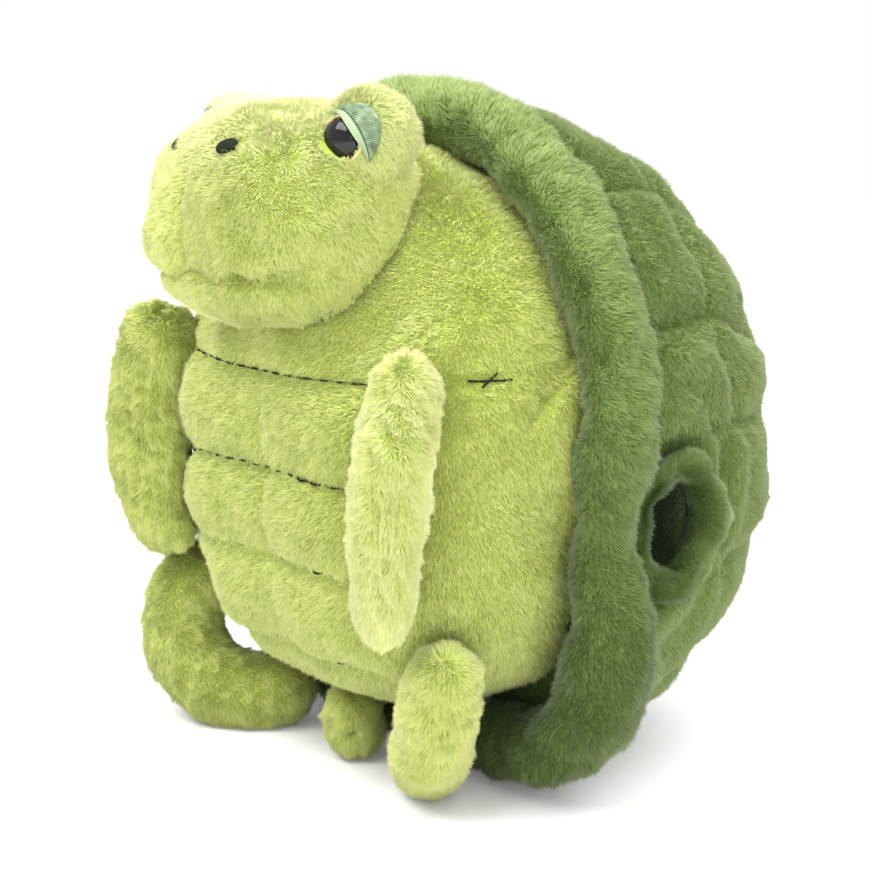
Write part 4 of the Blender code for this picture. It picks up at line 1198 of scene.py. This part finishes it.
def add_lid(side, side_name, look):
    """An embroidered half-moon over the upper outer part of the eye."""
    along_steps, out_steps = 260, 56
    grid_a, grid_o = np.meshgrid(np.linspace(-0.995, 0.995, along_steps), np.linspace(0.0, 1.0, out_steps),
                                 indexing="ij")
    a, o = grid_a.ravel(), grid_o.ravel()
    low, high = lid_edges(a)
    up = low + (high - low) * o
    sideways = a * LID_HALF_LENGTH + LID_SHIFT
    turn = np.hypot(up, sideways)
    spoke = unit(LID_ACROSS * sideways[:, None] + LID_LEAN * up[:, None])
    way = LID_MIDDLE * np.cos(turn)[:, None] + spoke * np.sin(turn)[:, None]
    along, rise = sideways * BROW_RADIUS, up * BROW_RADIUS
    stitch = np.where(o < LID_BAND, np.sin(along / 0.00011), np.sin((along * 0.8 + rise) / 0.00019))
    edge = np.minimum(np.minimum(o * 7.0, (1.0 - o) * 5.0), 1.0)
    groove = bump(o - LID_BAND, 0.030)
    height = 0.0014 * edge + 0.00016 * stitch * edge - 0.0005 * groove
    over = smooth_step(np.degrees(np.arccos(np.clip(way @ EYE_PLACE, -1.0, 1.0))), 22.0, 38.0)
    height = height + 0.0030 * (1.0 - over)
    top = BROW + way * (BROW_RADIUS + 0.0006 + height)[:, None]
    bottom = BROW + way * (BROW_RADIUS - 0.0008 + 0.0030 * (1.0 - over))[:, None]
    shift = len(top)
    faces = two_walls(grid_faces(along_steps, out_steps, False, False), shift)
    rim = [i * out_steps for i in range(along_steps)]
    rim += [(along_steps - 1) * out_steps + k for k in range(1, out_steps)]
    rim += [i * out_steps + out_steps - 1 for i in range(along_steps - 2, -1, -1)]
    rim += list(range(out_steps - 2, 0, -1))
    faces += [(p, q, shift + q, shift + p) for p, q in zip(rim, rim[1:] + rim[:1])]
    points = np.vstack([top, bottom])
    points[:, 0] *= side
    lid = new_object("lid_" + side_name, points, faces, look["satin"], "head",
                     ("eyelid_" + side_name,))
    uneven = 0.08 * Waves(90, 0.004).value(top)
    shade = np.where(o < LID_BAND, 0.86 + 0.10 * stitch, 0.46 + 0.28 * stitch + uneven)
    shade = shade * (1.0 - groove) + 0.06 * groove
    values = np.clip(np.concatenate([shade, shade]), 0.0, 1.0)
    indices = np.zeros(len(lid.data.loops), int)
    lid.data.loops.foreach_get("vertex_index", indices)
    uv = np.stack([values[indices], np.full(len(indices), 0.5)], axis=1)
    lid.data.uv_layers.new(name="OFBake").data.foreach_set("uv", uv.astype(np.float32).ravel())


def add_nostril(side, side_name, look):
    """A small satin-stitched oval on the muzzle."""
    ways, faces = sphere_ways(40, 24)
    centre = head_surface(NOSTRIL_WAY[None, :])[0]
    normal = unit(centre - HEAD)
    long_way = np.array([0.80, 0.0, 0.60])
    across = unit(long_way - normal * (long_way @ normal))
    upward = np.cross(normal, across)
    stitch = 0.00012 * np.sin(ways[:, 0] * 60.0)
    points = centre + across * (ways[:, 0] * 0.0062)[:, None] + upward * (ways[:, 1] * 0.0040)[:, None]
    points = points + normal * (ways[:, 2] * 0.0024 - 0.0008 + stitch)[:, None]
    points[:, 0] *= side
    new_object("nose_" + side_name, points, faces, look["thread"], "head",
               ("nostril_" + side_name,))


# Stage

CAMERA_TARGET = (0.052, -0.060, 0.19)
CAMERA_AZIMUTH = math.radians(53.0)
CAMERA_ELEVATION = math.radians(10.0)
CAMERA_DISTANCE = 0.954
SENSOR_WIDTH = 36.0
FOCAL_PIXELS = 1800.0
PICTURE_PIXELS = 870.0
LIT_PLACE = (0.0, -0.03, 0.2)
WHITE = (1.0, 1.0, 1.0, 1.0)


def add_camera():
    level = math.cos(CAMERA_ELEVATION)
    back = Vector((math.sin(CAMERA_AZIMUTH) * level, -math.cos(CAMERA_AZIMUTH) * level,
                   math.sin(CAMERA_ELEVATION)))
    camera = bpy.data.objects.new("camera", bpy.data.cameras.new("camera"))
    camera.data.sensor_width = SENSOR_WIDTH
    camera.data.lens = FOCAL_PIXELS * SENSOR_WIDTH / PICTURE_PIXELS
    camera.data.clip_start = 0.01
    camera.location = Vector(CAMERA_TARGET) + back * CAMERA_DISTANCE
    camera.rotation_euler = back.to_track_quat("Z", "Y").to_euler()
    bpy.context.scene.collection.objects.link(camera)
    bpy.context.scene.camera = camera


def add_lamp(name, place, size, power):
    lamp = bpy.data.lights.new(name, "AREA")
    lamp.shape = "RECTANGLE"
    lamp.size, lamp.size_y = size
    lamp.energy = power
    item = bpy.data.objects.new(name, lamp)
    item.location = place
    item.rotation_euler = (Vector(place) - Vector(LIT_PLACE)).to_track_quat("Z", "Y").to_euler()
    bpy.context.scene.collection.objects.link(item)


def looked_at(tree):
    """1 where the camera, a reflection or a refraction looks, else 0."""
    paths = tree.nodes.new("ShaderNodeLightPath")
    value = paths.outputs["Is Camera Ray"]
    for kind in ("Is Glossy Ray", "Is Transmission Ray"):
        most = tree.nodes.new("ShaderNodeMath")
        most.operation = "MAXIMUM"
        tree.links.new(value, most.inputs[0])
        tree.links.new(paths.outputs[kind], most.inputs[1])
        value = most.outputs[0]
    return value


def picked(tree, factor, first, second, output):
    """Shows the second of two shaders as far as the factor says."""
    pick = tree.nodes.new("ShaderNodeMixShader")
    tree.links.new(factor, pick.inputs["Fac"])
    tree.links.new(first, pick.inputs[1])
    tree.links.new(second, pick.inputs[2])
    tree.links.new(pick.outputs["Shader"], tree.nodes[output].inputs["Surface"])


def add_floor():
    """A white floor that glows more the further it lies from the turtle."""
    floor = plain_object("floor", [(-6, -6, 0), (6, -6, 0), (6, 6, 0), (-6, 6, 0)], [(0, 1, 2, 3)])
    floor.location.z = -0.0004
    material, tree, shader = node_material("floor_white", {
        "Base Color": (0.86, 0.86, 0.86, 1.0), "Roughness": 0.9})
    coords = tree.nodes.new("ShaderNodeTexCoord")
    reach = tree.nodes.new("ShaderNodeVectorMath")
    reach.operation = "LENGTH"
    tree.links.new(coords.outputs["Object"], reach.inputs[0])
    fade = tree.nodes.new("ShaderNodeMapRange")
    for socket, value in (("From Min", 0.30), ("From Max", 1.10), ("To Min", 0.12), ("To Max", 0.65)):
        fade.inputs[socket].default_value = value
    tree.links.new(reach.outputs["Value"], fade.inputs["Value"])
    glow = tree.nodes.new("ShaderNodeEmission")
    glow.inputs["Color"].default_value = WHITE
    tree.links.new(fade.outputs["Result"], glow.inputs["Strength"])
    add = tree.nodes.new("ShaderNodeAddShader")
    tree.links.new(shader.outputs["BSDF"], add.inputs[0])
    tree.links.new(glow.outputs["Emission"], add.inputs[1])
    picked(tree, looked_at(tree), shader.outputs["BSDF"], add.outputs["Shader"], "Material Output")
    floor.data.materials.append(material)


def add_world():
    """Soft light from all sides, and plain white behind."""
    world = bpy.data.worlds.new("studio")
    bpy.context.scene.world = world
    world.use_nodes = True
    tree = world.node_tree
    light, white = tree.nodes["Background"], tree.nodes.new("ShaderNodeBackground")
    for node, strength in ((light, 0.95), (white, 1.0)):
        node.inputs["Color"].default_value = WHITE
        node.inputs["Strength"].default_value = strength
    paths = tree.nodes.new("ShaderNodeLightPath")
    picked(tree, paths.outputs["Is Camera Ray"], light.outputs["Background"], white.outputs["Background"],
           "World Output")


def main():
    add_camera()
    add_floor()
    add_world()
    add_lamp("key", (0.15, -1.20, 1.75), (1.5, 1.1), 40.5)
    add_lamp("side", (1.7, -0.6, 0.9), (0.8, 0.8), 9.0)
    add_lamp("top", (0.55, 0.35, 1.85), (1.6, 1.6), 36.0)
    bpy.context.scene.view_settings.view_transform = "Standard"
    look = make_materials()
    add_body(look)
    add_shell(look)
    add_roll(look)
    add_lining(look)
    for side, side_name in SIDES:
        add_cuff(side, side_name, look)
    add_head(look)
    add_neck(look)
    for side, side_name in SIDES:
        add_eye(side, side_name, look)
        add_lid(side, side_name, look)
        add_nostril(side, side_name, look)
    for number, name in enumerate(LIMBS):
        add_limb(name, look, 60 + 3 * number)
    add_threads(look)


main()
